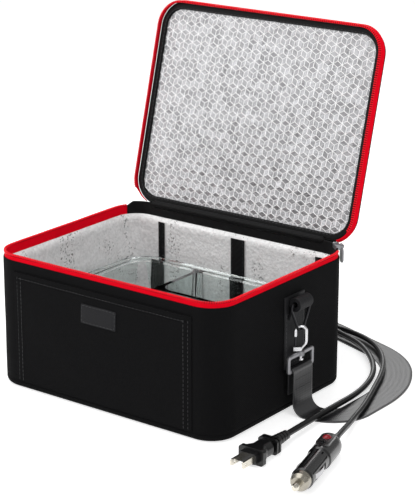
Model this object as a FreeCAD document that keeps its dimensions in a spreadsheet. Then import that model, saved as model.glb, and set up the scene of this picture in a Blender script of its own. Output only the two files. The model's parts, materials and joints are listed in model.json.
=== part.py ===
"""Electric lunch box: a soft insulated bag with a zipped lid, a heating plate and a glass tray.

Millimetres. The origin is the middle of the bag's base, +Z is up and the front faces -Y.
"""
import FreeCAD
import Part
import Sketcher
import math
import operator
import os

Vec = FreeCAD.Vector
UP = Vec(0, 0, 1)
ACROSS = Vec(1, 0, 0)
BACK = Vec(0, 1, 0)

SIZES = {
    # Bag walls, from the outside in, and its base
    "bag_width": 278, "bag_depth": 218, "bag_corner": 28, "base_height": 7, "base_edge": 5.5,
    "shell_cloth": 1.2, "foam_wall": 5, "lining_foil": 0.8, "shell_top": 130, "foam_top": 125,
    "board_play": 0.1,
    # Zip round the rim, with its tape, its coil bead and where both end beside the hinge
    "tape_cloth": 1.2, "tape_top": 136, "bead_width": 2.6, "bead_tall": 1.8, "bead_gap": 0.4,
    "zip_end": 14, "zip_end_gap": 0.3, "band_cloth": 2.4,
    # Front pocket, bare label patch and the tapes over the lining's seams
    "pocket_side": 30, "pocket_low": 9, "pocket_top": 121.5, "pocket_cloth": 1.4,
    "label_width": 43, "label_tall": 19, "label_middle": 98, "label_cloth": 0.8,
    "seam_wide": 17, "seam_narrow": 8, "seam_inset": 32.5, "seam_shift": 7, "seam_cloth": 0.5,
    # Lid, drawn closed over the bag and then turned open about the piping
    "lid_overhang": 3, "lid_corner": 31, "lid_thick": 9.5, "lid_edge": 8, "lid_tape_tall": 6,
    "lid_open": 105, "piping_radius": 3.5, "piping_side": 30, "hinge_gap": 0.3,
    "binding_width": 6, "binding_tall": 2.5,
    "handle_span": 150, "handle_width": 25, "handle_cloth": 2.4, "handle_rise": 26,
    "handle_foot": 30, "handle_bend": 14,
    # Webbing tab, triangle ring, snap hook and strap loop on each side
    "tab_middle": 10, "tab_width": 33, "tab_low": 46, "tab_head": 7, "tab_cloth": 1.8,
    "roll_radius": 7.6, "roll_width": 22, "roll_sewn": 0.2, "bar_height": 111, "wire_radius": 1.3, "wire_play": 0.05,
    "ring_half": 18.5, "ring_foot": 4, "ring_drop": 28, "ring_bend": 4,
    "hook_wire": 1.7, "hook_play": 0.3, "hook_bend": 5.2, "hook_nose": 10, "hook_spine": 17, "hook_stem": 23,
    "hook_stem_long": 9, "hook_turn": 45, "hook_elbow": 5, "hook_neck": 4,
    "heel_cheek": 1, "heel_tall": 3.8, "gate_pivot": 22.5, "gate_wire": 0.9, "gate_eye": 1.9,
    "gate_pin": 0.8, "gate_slack": 0.15,
    "loop_width": 43, "loop_tall": 18, "loop_wire": 1.8, "loop_thick": 3.2, "loop_corner": 3, "loop_edge": 1.1,
    "collar_radius": 3.4, "collar_tall": 4.6, "collar_rib": 0.5, "collar_rib_tall": 0.7, "collar_pitch": 1.5, "head_radius": 3, "head_tall": 1.6,
    "strap_width": 32, "strap_cloth": 1.6, "strap_play": 0.45, "strap_fold": 24, "strap_bend": 12,
    "strap_step": 16, "strap_turn": 30, "strap_sweep": 62,
    # Zip slider and its pull
    "slider_long": 10, "slider_tall": 5.5, "slider_thick": 6, "slider_edge": 1.2, "slider_turn": 50,
    "bail_radius": 0.8, "bail_reach": 2.3, "bail_height": 3.2, "bail_half": 2.6, "bail_post": 1.2,
    "pull_wide": 9, "pull_long": 17, "pull_thick": 1.6, "pull_eye": 1.9,
    # Heating plate: aluminium top on a moulded base with four legs and a socket bay
    "heater_side_gap": 7, "heater_end_gap": 9, "heater_corner": 20, "heater_leg": 11,
    "heater_skirt": 13, "heater_wall": 2.5, "heater_floor": 2, "top_plate": 3, "top_edge": 1.4,
    "leg_width": 34, "leg_depth": 30, "leg_slant": 8, "bay_width": 76, "bay_depth": 8, "bay_drop": 4,
    "socket_height": 18.3, "inlet_middle": -8, "inlet_width": 21, "inlet_tall": 9.6,
    "inlet_deep": 16, "inlet_flange": 2.2, "inlet_brow": 0.8, "inlet_lip": 1.5, "inlet_play": 0.1, "inlet_well": 11,
    "pin_pitch": 8.6, "pin_radius": 1.2, "pin_long": 9.5, "well_radius": 3.9,
    "jack_middle": 19, "jack_radius": 4.2, "jack_bore": 2.9, "jack_deep": 14, "jack_well": 9,
    "jack_lip": 2, "jack_rim": 5.5, "jack_pin": 1.05, "jack_play": 0.05,
    "film_side": 23, "film_front": 25, "film_rear": 17, "film_thick": 0.6,
    "stat_long": 20, "stat_wide": 8, "stat_tall": 4, "stat_middle": 60, "stat_front": 14,
    "post_side": 10, "post_end": 10.5, "post_radius": 3.2, "post_hole": 1.55, "post_hole_deep": 7,
    "screw_radius": 1.5, "screw_reach": 6, "screw_head": 2.8, "screw_head_tall": 2,
    "screw_well": 3.2, "screw_well_deep": 9, "screw_play": 0.2, "wire_lead": 1, "wire_out": 14, "wire_along": 18,
    "wire_aside": 16, "wire_bend": 4, "wire_rise_bend": 2.4,
    # Three-compartment glass tray
    "tray_side": 25, "tray_end": 18, "tray_corner": 28, "tray_tall": 58, "tray_draft": 8, "tray_wall": 4.5,
    "tray_floor": 5, "tray_rim": 5, "tray_rim_tall": 4, "tray_split": 0.4, "tray_divider": 5,
    "well_corner": 12, "well_draft": 5, "tray_foot": 1.5,
    # Mains lead
    "ac_cord": 6, "ac_coil_x": 8, "ac_coil_y": 167, "ac_coil_inner": 25, "ac_end_height": 6.2,
    "blade_pitch": 12.7, "blade_wide": 6.3, "blade_thick": 1.5, "blade_long": 17, "blade_hole": 1.6,
    "plug_height": 8.1, "plug_long": 34, "plug_relief": 24, "plug_wide": 27, "plug_tall": 16, "plug_lip": 4.5,
    "plug_corner": 3, "plug_waist": 19, "plug_waist_tall": 14, "plug_neck": 13, "plug_neck_tall": 12,
    "plug_collar": 21, "plug_collar_tall": 15, "plug_collar_thick": 2.6, "plug_collar_gap": 1.8,
    "plug_face": 18, "plug_face_tall": 10, "plug_face_long": 6,
    "plug_boot": 4.6, "plug_boot_end": 6, "boot_groove": 0.9,
    "relief_rise": 0.6, "relief_radius": 5.4, "relief_groove": 0.5, "nose_long": 9, "nose_wide": 14.6,
    "nose_tall": 7, "nose_corner": 3.4, "shroud_long": 28, "shroud_wide": 19, "shroud_tall": 12,
    "shroud_corner": 4, "shroud_neck": 12, "shroud_relief": 20, "pin_room": 0.2,
    # Lead with the car plug
    "dc_cord": 5.5, "dc_coil_x": -85, "dc_coil_y": 179, "dc_coil_inner": 24, "dc_end_height": 5.8,
    "car_height": 11.6, "car_relief": 14, "car_head": 40, "car_barrel": 46, "car_ring": 10,
    "car_tip_long": 10, "car_tip": 3.4, "car_tip_play": 0.05, "car_tip_root": 4,
    "car_tail_radius": 7, "car_tail_long": 12, "car_head_radius": 11.4, "car_barrel_radius": 10.3,
    "car_barrel_edge": 2, "car_groove_wide": 1.5, "car_groove_deep": 1.3,
    "car_window_wide": 13, "car_window_long": 29, "car_window_rise": 0.5, "car_stud": 2.4, "car_stud_deep": 1,
    "car_ring_radius": 9.2, "car_ring_front": 6.4, "car_lens": 4.8, "car_lens_sunk": 2.4,
    "leaf_wide": 5, "leaf_thick": 0.7, "leaf_bow": 1.2, "leaf_room": 0.5,
    "barrel_grip": 24, "barrel_relief": 18, "barrel_long": 10, "barrel_radius": 2.75, "barrel_grip_radius": 5.4,
    # What both coils share
    "coil_turns": 4, "coil_step": 1.25, "coil_lift": 1.2, "tie_wide": 10, "tie_cloth": 0.9,
    "tie_play": 0.3, "tie_room": 0.9,
}

# Free stretch of each lead from its coil to its plug, as it lies on the floor and over the strap
AC_ROUTE = [
    (31, 206, 10.6), (56, 203, 7.6), (82, 195, 6.2), (105, 185, 6.2), (128, 167, 5.6),
    (149, 143, 4.4), (162, 119, 3.6), (171, 90, 3.6), (175, 63, 4.2), (177, 41, 5.8),
    (178.5, 20, 6.6), (178.5, -2, 6.8), (179.8, -22, 7.2), (181.3, -42, 8.0),
]
AC_PLUG_AT = (182, -61.5)
AC_PLUG_AIM = (0.03, -0.99955)
DC_ROUTE = [
    (-58, 215.6, 9.4), (-28, 216.5, 7.0), (8, 216, 5.8), (42, 214, 5.6), (74, 212, 5.6),
    (101, 204, 5.6), (125, 189, 5.6), (147, 165, 5.6), (167, 130, 5.4), (183, 88, 5.2),
    (198, 48, 5.2), (207, 16, 5.8), (215, -8, 7.6), (221.6, -27, 10.6),
]
CAR_PLUG_AT = (226.6, -44.0)
CAR_PLUG_AIM = (0.264, -0.9645)

# Strap's way round the back of the bag, from the right-hand drop to the left-hand one:
# the side whose bar it is measured from (none is 0), how far to the right of it, and how far behind the bag
STRAP_BACK = [(1, 46, 3), (1, 6, 70), (0, 40, 112), (0, -70, 136), (-1, -26, 112), (-1, -56, 10)]

doc = FreeCAD.newDocument("electric_lunch_box")
nodes = {}


class Size:
    """A size from the sheet: the expression that binds to it, and its number for plain shapes."""

    def __init__(self, text, number):
        self.text = text
        self.number = float(number)

    def __float__(self):
        return self.number

    def __add__(self, other):
        return combine(self, "+", other)

    def __radd__(self, other):
        return combine(other, "+", self)

    def __sub__(self, other):
        return combine(self, "-", other)

    def __rsub__(self, other):
        return combine(other, "-", self)

    def __mul__(self, other):
        return combine(self, "*", other)

    def __rmul__(self, other):
        return combine(other, "*", self)

    def __truediv__(self, other):
        return combine(self, "/", other)

    def __neg__(self):
        return combine(-1, "*", self)


OPERATIONS = {"+": operator.add, "-": operator.sub, "*": operator.mul, "/": operator.truediv}


def as_size(value):
    """Take a plain number as a size."""
    return value if isinstance(value, Size) else Size(repr(float(value)), value)


def combine(left, sign, right):
    """Join two sizes with one of the four operations."""
    left, right = as_size(left), as_size(right)
    number = OPERATIONS[sign](left.number, right.number)
    return Size(f"({left.text} {sign} {right.text})", number)


class SizeSheet:
    """The spreadsheet of driving dimensions, read by name."""

    def __init__(self):
        sheet = doc.addObject("Spreadsheet::Sheet", "Sizes")
        for row, (name, number) in enumerate(SIZES.items(), start=1):
            sheet.set(f"A{row}", name)
            sheet.set(f"B{row}", str(number))
            sheet.setAlias(f"B{row}", name)
        doc.recompute()
        for name in SIZES:
            setattr(self, name, Size(f"Sizes.{name}", sheet.get(name)))


dim = SizeSheet()


def bind(target, prop, value):
    """Bind a property to a size."""
    target.setExpression(prop, as_size(value).text)


def keep(label, item, placement=None):
    """Name a finished sub-part and put it in its place."""
    item.Label = label
    if placement:
        item.Placement = placement
    nodes[label] = item
    return item


def keep_shape(label, shape, placement=None):
    """Keep a shape made directly as a sub-part."""
    item = doc.addObject("Part::Feature", label)
    item.Shape = shape
    return keep(label, item, placement)


# Sketches and features of the bodies

def new_body(label):
    return doc.addObject("PartDesign::Body", label)


def sketch_on(body, plane="XY", shift=(0, 0, 0)):
    """Sketch on one of the body's origin planes, moved by a shift in the plane's own axes."""
    sketch = body.newObject("Sketcher::SketchObject", "outline")
    support = next(item for item in body.Origin.OriginFeatures if item.Role == plane + "_Plane")
    sketch.AttachmentSupport = [(support, "")]
    sketch.MapMode = "FlatFace"
    for axis, value in zip("xyz", shift):
        bind(sketch, f"AttachmentOffset.Base.{axis}", value)
    return sketch


def limit(sketch, kind, *items):
    """Add a constraint; a size at the end of the items is bound to the sheet."""
    size = items[-1] if isinstance(items[-1], Size) else None
    values = items[:-1] + (float(size),) if size else items
    index = sketch.addConstraint(Sketcher.Constraint(kind, *values))
    if size:
        name = f"size_{index}"
        sketch.renameConstraint(index, name)
        bind(sketch, f"Constraints.{name}", size)


def rounded_loop(sketch, width, depth, radius):
    """Rounded rectangle about the sketch's origin."""
    corner = float(radius)
    reach_x = float(width) / 2 - corner
    reach_y = float(depth) / 2 - corner
    arcs = []
    for number, (side_x, side_y) in enumerate([(1, 1), (-1, 1), (-1, -1), (1, -1)]):
        circle = Part.Circle(Vec(side_x * reach_x, side_y * reach_y, 0), UP, corner)
        start = number * math.pi / 2
        arcs.append(sketch.addGeometry(Part.ArcOfCircle(circle, start, start + math.pi / 2)))
    for here, there in zip(arcs, arcs[1:] + arcs[:1]):
        run = Part.LineSegment(sketch.Geometry[here].EndPoint, sketch.Geometry[there].StartPoint)
        side = sketch.addGeometry(run)
        limit(sketch, "Tangent", here, 2, side, 1)
        limit(sketch, "Tangent", side, 2, there, 1)
        limit(sketch, "Horizontal" if here in arcs[0::2] else "Vertical", side)
    for other in arcs[1:]:
        limit(sketch, "Equal", arcs[0], other)
    limit(sketch, "Symmetric", arcs[0], 3, arcs[2], 3, -1, 1)
    limit(sketch, "Radius", arcs[0], as_size(radius))
    limit(sketch, "DistanceX", arcs[1], 3, arcs[0], 3, as_size(width - 2 * radius))
    limit(sketch, "DistanceY", arcs[3], 3, arcs[0], 3, as_size(depth - 2 * radius))


def slanted_loop(sketch, low_width, high_width, height):
    """Trapezoid that stands on the sketch's X axis, even about its Y axis."""
    low, high, top = float(low_width) / 2, float(high_width) / 2, float(height)
    corners = [Vec(-low, 0, 0), Vec(low, 0, 0), Vec(high, top, 0), Vec(-high, top, 0)]
    lines = []
    for here, there in zip(corners, corners[1:] + corners[:1]):
        lines.append(sketch.addGeometry(Part.LineSegment(here, there)))
    for here, there in zip(lines, lines[1:] + lines[:1]):
        limit(sketch, "Coincident", here, 2, there, 1)
    limit(sketch, "Symmetric", lines[0], 1, lines[0], 2, -1, 1)
    limit(sketch, "Symmetric", lines[2], 1, lines[2], 2, -2)
    limit(sketch, "DistanceX", lines[0], 1, lines[0], 2, as_size(low_width))
    limit(sketch, "DistanceX", lines[2], 2, lines[2], 1, as_size(high_width))
    limit(sketch, "DistanceY", lines[1], 1, lines[1], 2, as_size(height))


def box_loop(sketch, width, depth):
    """Plain rectangle about the sketch's origin."""
    half_x, half_y = float(width) / 2, float(depth) / 2
    corners = [Vec(-half_x, -half_y, 0), Vec(half_x, -half_y, 0), Vec(half_x, half_y, 0), Vec(-half_x, half_y, 0)]
    lines = []
    for here, there in zip(corners, corners[1:] + corners[:1]):
        lines.append(sketch.addGeometry(Part.LineSegment(here, there)))
    for here, there in zip(lines, lines[1:] + lines[:1]):
        limit(sketch, "Coincident", here, 2, there, 1)
    limit(sketch, "Horizontal", lines[0])
    limit(sketch, "Horizontal", lines[2])
    limit(sketch, "Vertical", lines[1])
    limit(sketch, "Vertical", lines[3])
    limit(sketch, "Symmetric", lines[0], 1, lines[2], 1, -1, 1)
    limit(sketch, "DistanceX", lines[0], 1, lines[0], 2, as_size(width))
    limit(sketch, "DistanceY", lines[1], 1, lines[1], 2, as_size(depth))


def circle_loop(sketch, radius, side_x=0, reach_x=0, side_y=0, reach_y=0):
    """Circle about the origin, or one of a set at equal reaches to either side of it."""
    centre = Vec(side_x * float(reach_x), side_y * float(reach_y), 0)
    circle = sketch.addGeometry(Part.Circle(centre, UP, float(radius)))
    limit(sketch, "Radius", circle, as_size(radius))
    if not side_x and not side_y:
        limit(sketch, "Coincident", circle, 3, -1, 1)
        return
    for kind, side, reach in (("DistanceX", side_x, reach_x), ("DistanceY", side_y, reach_y)):
        ends = (-1, 1, circle, 3) if side > 0 else (circle, 3, -1, 1)
        if side:
            limit(sketch, kind, *ends, as_size(reach))
    if not side_y:
        limit(sketch, "PointOnObject", circle, 3, -1)


def corner_circles(sketch, radius, reach_x, reach_y):
    """Four circles at the corners of a rectangle."""
    for side_x in (-1, 1):
        for side_y in (-1, 1):
            circle_loop(sketch, radius, side_x, reach_x, side_y, reach_y)


def pad(body, sketch, length, symmetric=False, reverse=False):
    feature = body.newObject("PartDesign::Pad", "pad")
    feature.Profile = sketch
    feature.SideType = "Symmetric" if symmetric else "One side"
    feature.Reversed = reverse
    bind(feature, "Length", length)
    return feature


def pocket(body, sketch, length=None, symmetric=False, reverse=False):
    feature = body.newObject("PartDesign::Pocket", "pocket")
    feature.Profile = sketch
    feature.SideType = "Symmetric" if symmetric else "One side"
    feature.Reversed = reverse
    if length is None:
        feature.Type = "ThroughAll"
    else:
        bind(feature, "Length", length)
    return feature


def round_level(body, feature, height, radius, within=None):
    """Round every edge that lies flat at one height, within a plan half width if one is given."""
    doc.recompute()
    names = []
    for number, edge in enumerate(feature.Shape.Edges, start=1):
        box = edge.BoundBox
        level = box.ZLength < 1e-4 and abs(box.ZMin - float(height)) < 1e-4
        inside = within is None or max(abs(box.XMin), abs(box.XMax)) < float(within) + 1e-4
        if level and inside:
            names.append(f"Edge{number}")
    fillet = body.newObject("PartDesign::Fillet", "round")
    fillet.Base = (feature, names)
    bind(fillet, "Radius", radius)
    return fillet


# Bag outlines, from the outside in

def bag_outline(inset):
    """Plan of the bag at a depth into its wall: width, depth and corner radius."""
    inset = as_size(inset)
    return dim.bag_width - 2 * inset, dim.bag_depth - 2 * inset, dim.bag_corner - inset


def lid_outline(inset):
    """Plan of the lid at a depth in from its edge."""
    inset = as_size(inset)
    width = dim.bag_width + 2 * dim.lid_overhang - 2 * inset
    depth = dim.bag_depth + 2 * dim.lid_overhang - 2 * inset
    return width, depth, dim.lid_corner - inset


def band_body(label, outer, inner, low, high):
    """Upright band between two outlines."""
    body = new_body(label)
    sketch = sketch_on(body, shift=(0, 0, low))
    rounded_loop(sketch, *outer)
    rounded_loop(sketch, *inner)
    pad(body, sketch, high - low)
    return body


def dish_body(label, outer, inner, low, high, floor, edge=None):
    """Open dish between two outlines, with rounded bottom edges where an edge is given."""
    body = new_body(label)
    sketch = sketch_on(body, shift=(0, 0, low))
    rounded_loop(sketch, *outer)
    pad(body, sketch, high - low)
    hollow = sketch_on(body, shift=(0, 0, high))
    rounded_loop(hollow, *inner)
    cut = pocket(body, hollow, high - low - floor)
    if edge:
        inside = round_level(body, cut, low + floor, edge - floor)
        round_level(body, inside, low, edge)
    return body


def slab_body(label, outline, low, high, low_edge=None, high_edge=None):
    """Solid slab of an outline, with its lower or upper edges rounded."""
    body = new_body(label)
    sketch = sketch_on(body, shift=(0, 0, low))
    rounded_loop(sketch, *outline)
    feature = pad(body, sketch, high - low)
    if low_edge:
        round_level(body, feature, low, low_edge)
    if high_edge:
        round_level(body, feature, high, high_edge)
    return body


def trim_rear(body, line, keep_rear=False):
    """Cut a band off behind a line across the bag, or in front of it."""
    depth = 2 * dim.bag_depth
    middle = line - depth / 2 if keep_rear else line + depth / 2
    sketch = sketch_on(body, shift=(0, middle, 0))
    box_loop(sketch, 2 * dim.bag_width, depth)
    pocket(body, sketch, symmetric=True)


zip_line = dim.bag_depth / 2 - dim.zip_end
wall_in = dim.shell_cloth + dim.foam_wall
room_in = wall_in + dim.lining_foil
seat = dim.base_height + dim.lining_foil


def make_bag():
    base = dish_body("base_panel", bag_outline(0), bag_outline(dim.shell_cloth), as_size(0),
                     dim.base_height, dim.shell_cloth, dim.base_edge)
    keep("base_panel", base)
    board = slab_body("base_board", bag_outline(dim.shell_cloth + dim.board_play), dim.shell_cloth,
                      dim.base_height, low_edge=dim.base_edge - dim.shell_cloth)
    keep("base_board", board)
    shell = band_body("wall_shell", bag_outline(0), bag_outline(dim.shell_cloth), dim.base_height, dim.shell_top)
    keep("wall_shell", shell)
    foam = band_body("wall_foam", bag_outline(dim.shell_cloth), bag_outline(wall_in), dim.base_height, dim.foam_top)
    keep("wall_foam", foam)
    lining = dish_body("bag_lining", bag_outline(wall_in), bag_outline(room_in), dim.base_height,
                       dim.foam_top, dim.lining_foil)
    keep("bag_lining", lining)


def bead_inset():
    """Depth of the coil bead's outer face, with the bead even about the tape."""
    return dim.shell_cloth + dim.tape_cloth / 2 - dim.bead_width / 2


def make_body_zip():
    """Tape and coil bead round the rim, and the black band that carries the lid behind them."""
    tape_in = dim.shell_cloth + dim.tape_cloth
    tape = band_body("zip_tape_body", bag_outline(dim.shell_cloth), bag_outline(tape_in), dim.foam_top, dim.tape_top)
    bead = sketch_on(tape, shift=(0, 0, dim.tape_top))
    rounded_loop(bead, *bag_outline(bead_inset()))
    rounded_loop(bead, *bag_outline(bead_inset() + dim.bead_width))
    pad(tape, bead, dim.bead_tall)
    trim_rear(tape, zip_line)
    keep("zip_tape_body", tape)
    band_in = dim.shell_cloth + dim.band_cloth
    band = band_body("rear_band", bag_outline(dim.shell_cloth), bag_outline(band_in), dim.foam_top, dim.tape_top)
    trim_rear(band, zip_line + dim.zip_end_gap, keep_rear=True)
    keep("rear_band", band)


def panel_body(label, width, thick, low, high, face):
    """Flat panel on the front, from its face forward."""
    body = new_body(label)
    sketch = sketch_on(body, "XZ", (0, (low + high) / 2, face))
    box_loop(sketch, width, high - low)
    pad(body, sketch, thick)
    return body


def make_front():
    front = dim.bag_depth / 2
    pouch = panel_body("front_pocket", (dim.bag_width - 2 * dim.pocket_side), dim.pocket_cloth, dim.pocket_low, dim.pocket_top, front)
    keep("front_pocket", pouch)
    low = dim.label_middle - dim.label_tall / 2
    label = panel_body("label_patch", dim.label_width, dim.label_cloth, low, low + dim.label_tall,
                       front + dim.pocket_cloth)
    keep("label_patch", label)


def make_seam_tapes():
    """Black tapes over the lining's seams: two at the rear corners and a wide one between."""
    tapes = []
    reach = dim.bag_width / 2 - room_in - dim.seam_inset
    for middle, width in ((-reach, dim.seam_narrow), (as_size(0), dim.seam_wide), (reach, dim.seam_narrow)):
        tape = doc.addObject("Part::Box", "seam_tape")
        bind(tape, "Length", width)
        bind(tape, "Width", dim.seam_cloth)
        bind(tape, "Height", dim.foam_top - seat)
        bind(tape, "Placement.Base.x", dim.seam_shift + middle - width / 2)
        bind(tape, "Placement.Base.y", dim.bag_depth / 2 - room_in - dim.seam_cloth)
        bind(tape, "Placement.Base.z", seat)
        tapes.append(tape)
    group = doc.addObject("Part::Compound", "lining_seam_tapes")
    group.Links = tapes
    keep("lining_seam_tapes", group)


# Lid, drawn closed

lid_bead_low = dim.tape_top + dim.bead_tall + dim.bead_gap
lid_tape_low = lid_bead_low + dim.bead_tall
lid_low = lid_tape_low + dim.lid_tape_tall
lid_high = lid_low + dim.lid_thick
hinge_y = dim.bag_depth / 2 - dim.shell_cloth - dim.tape_cloth / 2
hinge_z = dim.tape_top + dim.hinge_gap + dim.piping_radius


def lid_place():
    """The turn that opens the lid about the middle of the piping."""
    turn = FreeCAD.Rotation(ACROSS, -float(dim.lid_open))
    return FreeCAD.Placement(Vec(0, 0, 0), turn, Vec(0, float(hinge_y), float(hinge_z)))


def make_lid_shell():
    """Outer cloth of the lid: a shallow cap with a soft upper edge."""
    body = new_body("lid_shell")
    sketch = sketch_on(body, shift=(0, 0, lid_low))
    rounded_loop(sketch, *lid_outline(0))
    pad(body, sketch, dim.lid_thick)
    hollow = sketch_on(body, shift=(0, 0, lid_low))
    rounded_loop(hollow, *lid_outline(dim.shell_cloth))
    cut = pocket(body, hollow, dim.lid_thick - dim.shell_cloth, reverse=True)
    inside = round_level(body, cut, lid_high - dim.shell_cloth, dim.lid_edge - dim.shell_cloth)
    round_level(body, inside, lid_high, dim.lid_edge)
    keep("lid_shell", body, lid_place())


def make_lid_filling():
    inside = lid_outline(dim.shell_cloth + dim.board_play)
    lining = slab_body("lid_lining", inside, lid_low, lid_low + dim.lining_foil)
    keep("lid_lining", lining, lid_place())
    foam = slab_body("lid_foam", inside, lid_low + dim.lining_foil, lid_high - dim.shell_cloth,
                     high_edge=dim.lid_edge - dim.shell_cloth)
    keep("lid_foam", foam, lid_place())
    outer = dim.shell_cloth + dim.tape_cloth + dim.zip_end_gap
    binding = band_body("lid_binding", bag_outline(outer), bag_outline(outer + dim.binding_width),
                        lid_low - dim.binding_tall, lid_low)
    keep("lid_binding", binding, lid_place())


def loft_between(body, kind, low, low_outline, high, high_outline):
    """Loft, added or taken away, between two outlines at two heights."""
    sketches = []
    for height, outline in ((low, low_outline), (high, high_outline)):
        sketch = sketch_on(body, shift=(0, 0, height))
        rounded_loop(sketch, *outline)
        sketches.append(sketch)
    feature = body.newObject(kind, "loft")
    feature.Profile = sketches[0]
    feature.Sections = [sketches[1]]
    feature.Ruled = True
    return feature


def make_lid_zip():
    """Lid's half of the zip: the tape spreads from the bead out to the lid's edge."""
    body = new_body("zip_tape_lid")
    cloth = dim.tape_cloth
    loft_between(body, "PartDesign::AdditiveLoft", lid_tape_low, bag_outline(dim.shell_cloth), lid_low, lid_outline(0))
    loft_between(body, "PartDesign::SubtractiveLoft", lid_tape_low, bag_outline(dim.shell_cloth + cloth),
                 lid_low, lid_outline(cloth))
    bead = sketch_on(body, shift=(0, 0, lid_bead_low))
    rounded_loop(bead, *bag_outline(bead_inset()))
    rounded_loop(bead, *bag_outline(bead_inset() + dim.bead_width))
    pad(body, bead, dim.bead_tall)
    trim_rear(body, zip_line)
    keep("zip_tape_lid", body, lid_place())


def make_hinge_piping():
    """Corded seam along the back that the lid turns on."""
    body = new_body("hinge_piping")
    sketch = sketch_on(body, "YZ", (hinge_y, hinge_z, 0))
    circle_loop(sketch, dim.piping_radius)
    pad(body, sketch, dim.bag_width - 2 * dim.piping_side, symmetric=True)
    keep("hinge_piping", body, lid_place())


# Routes of straight runs and tangent arcs

def unit(vector):
    return vector / vector.Length


def route_runs(points, radii):
    """Straight runs and tangent arcs through a route: start, middle or None, end, and both directions."""
    runs = []
    here = points[0]
    for before, corner, after, radius in zip(points, points[1:], points[2:], radii):
        way_in, way_out = unit(corner - before), unit(after - corner)
        turn = way_in.getAngle(way_out)
        back = radius * math.tan(turn / 2)
        start, end = corner - way_in * back, corner + way_out * back
        if (start - here).Length > 1e-6:
            runs.append((here, None, start, way_in, way_in))
        inward = unit(way_out - way_in)
        middle = corner + inward * (radius / math.cos(turn / 2) - radius)
        runs.append((start, middle, end, way_in, way_out))
        here = end
    last = unit(points[-1] - points[-2])
    runs.append((here, None, points[-1], last, last))
    return runs


def run_edge(start, middle, end):
    if middle is None:
        return Part.LineSegment(start, end).toShape()
    return Part.Arc(start, middle, end).toShape()


def rod(points, radii, radius):
    """Round rod along a route."""
    wire = Part.Wire([run_edge(start, middle, end) for start, middle, end, _, _ in route_runs(points, radii)])
    profile = Part.Wire(Part.makeCircle(float(radius), points[0], unit(points[1] - points[0])))
    solid = wire.makePipeShell([profile], True, False)
    expected = math.pi * float(radius) ** 2 * wire.Length
    if abs(solid.Volume - expected) > 0.02 * expected:
        raise ValueError(f"rod volume {solid.Volume:.1f} is not {expected:.1f}")
    return solid


def ribbon(points, radii, half, normal, height):
    """Flat strip along a route in one plane: half its breadth either side, raised along the normal."""
    sides = []
    for reach in (half, -half):
        edges = []
        for start, middle, end, way_in, way_out in route_runs(points, radii):
            moved = [start + normal.cross(way_in) * reach, None, end + normal.cross(way_out) * reach]
            if middle:
                moved[1] = middle + normal.cross(unit(end - start)) * reach
            edges.append(run_edge(*moved))
        sides.append(edges)
    left, right = sides
    caps = [Part.LineSegment(right[0].Vertexes[0].Point, left[0].Vertexes[0].Point).toShape(),
            Part.LineSegment(left[-1].Vertexes[-1].Point, right[-1].Vertexes[-1].Point).toShape()]
    loop = Part.Wire(Part.__sortEdges__(left + right + caps))
    return Part.Face(loop).extrude(normal * height)


def mirror_fuse(half, plane_point, plane_normal):
    """Join a half with its mirror image."""
    return half.fuse(half.mirror(plane_point, plane_normal)).removeSplitter()


def make_handle():
    """Webbing grip sewn across the lid at its two feet."""
    cloth, top = float(dim.handle_cloth), float(lid_high)
    foot_end = float(dim.handle_span) / 2
    rise_at = foot_end - float(dim.handle_foot)
    low = top + cloth / 2
    high = top + float(dim.handle_rise)
    shoulder = rise_at - float(dim.handle_bend)
    near = -float(dim.handle_width) / 2
    points = [Vec(x, near, z) for x, z in ((-foot_end, low), (-rise_at, low), (-shoulder, high),
                                           (shoulder, high), (rise_at, low), (foot_end, low))]
    bend = float(dim.handle_bend)
    strip = ribbon(points, [bend] * 4, cloth / 2, BACK, float(dim.handle_width))
    keep_shape("carry_handle", strip, lid_place())


# Webbing tab, ring, hook and strap loop on each side

bar_x = dim.bag_width / 2 + dim.tab_cloth + dim.roll_radius - dim.roll_sewn
ring_foot_z = dim.bar_height - dim.ring_drop
hook_top_z = ring_foot_z + dim.wire_radius + dim.hook_play + dim.hook_wire
loop_bar_z = hook_top_z - dim.hook_stem - dim.heel_tall / 2 - dim.wire_play - dim.collar_tall / 2
loop_low_z = loop_bar_z - dim.loop_tall + 2 * dim.loop_wire


def side_place(side):
    """Right-hand pieces stay as drawn; left-hand ones are turned about the tab's middle."""
    if side == "right":
        return FreeCAD.Placement()
    return FreeCAD.Placement(Vec(0, 2 * float(dim.tab_middle), 0), FreeCAD.Rotation(UP, 180))


def make_side_tab(side):
    """Webbing patch sewn to the side, with the roll that holds the ring's bar."""
    body = new_body(f"side_tab_{side}")
    middle = -dim.tab_middle
    face = dim.bag_width / 2 + dim.tab_cloth / 2
    top = dim.bar_height + dim.tab_head
    patch = sketch_on(body, "XZ", (face, (dim.tab_low + top) / 2, middle))
    box_loop(patch, dim.tab_cloth, top - dim.tab_low)
    pad(body, patch, dim.tab_width, symmetric=True)
    roll = sketch_on(body, "XZ", (bar_x, dim.bar_height, middle))
    circle_loop(roll, dim.roll_radius)
    pad(body, roll, dim.roll_width, symmetric=True)
    bore = sketch_on(body, "XZ", (bar_x, dim.bar_height, middle))
    circle_loop(bore, dim.wire_radius + dim.wire_play)
    pocket(body, bore, symmetric=True)
    keep(f"side_tab_{side}", body, side_place(side))


def in_side_plane(pairs):
    """Points in the ring's upright plane from pairs of reach along the bag and height."""
    middle = float(dim.tab_middle)
    return [Vec(float(bar_x), middle + float(reach), float(height)) for reach, height in pairs]


def side_middle():
    return Vec(float(bar_x), float(dim.tab_middle), 0)


def make_ring(side):
    """Triangle ring: its bar lies in the webbing roll and its foot carries the hook."""
    bend = float(dim.ring_bend)
    half = in_side_plane([(0, dim.bar_height), (dim.ring_half, dim.bar_height),
                          (dim.ring_foot, ring_foot_z), (0, ring_foot_z)])
    ring = mirror_fuse(rod(half, [bend, bend], dim.wire_radius), side_middle(), BACK)
    keep_shape(f"strap_ring_{side}", ring, side_place(side))


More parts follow.
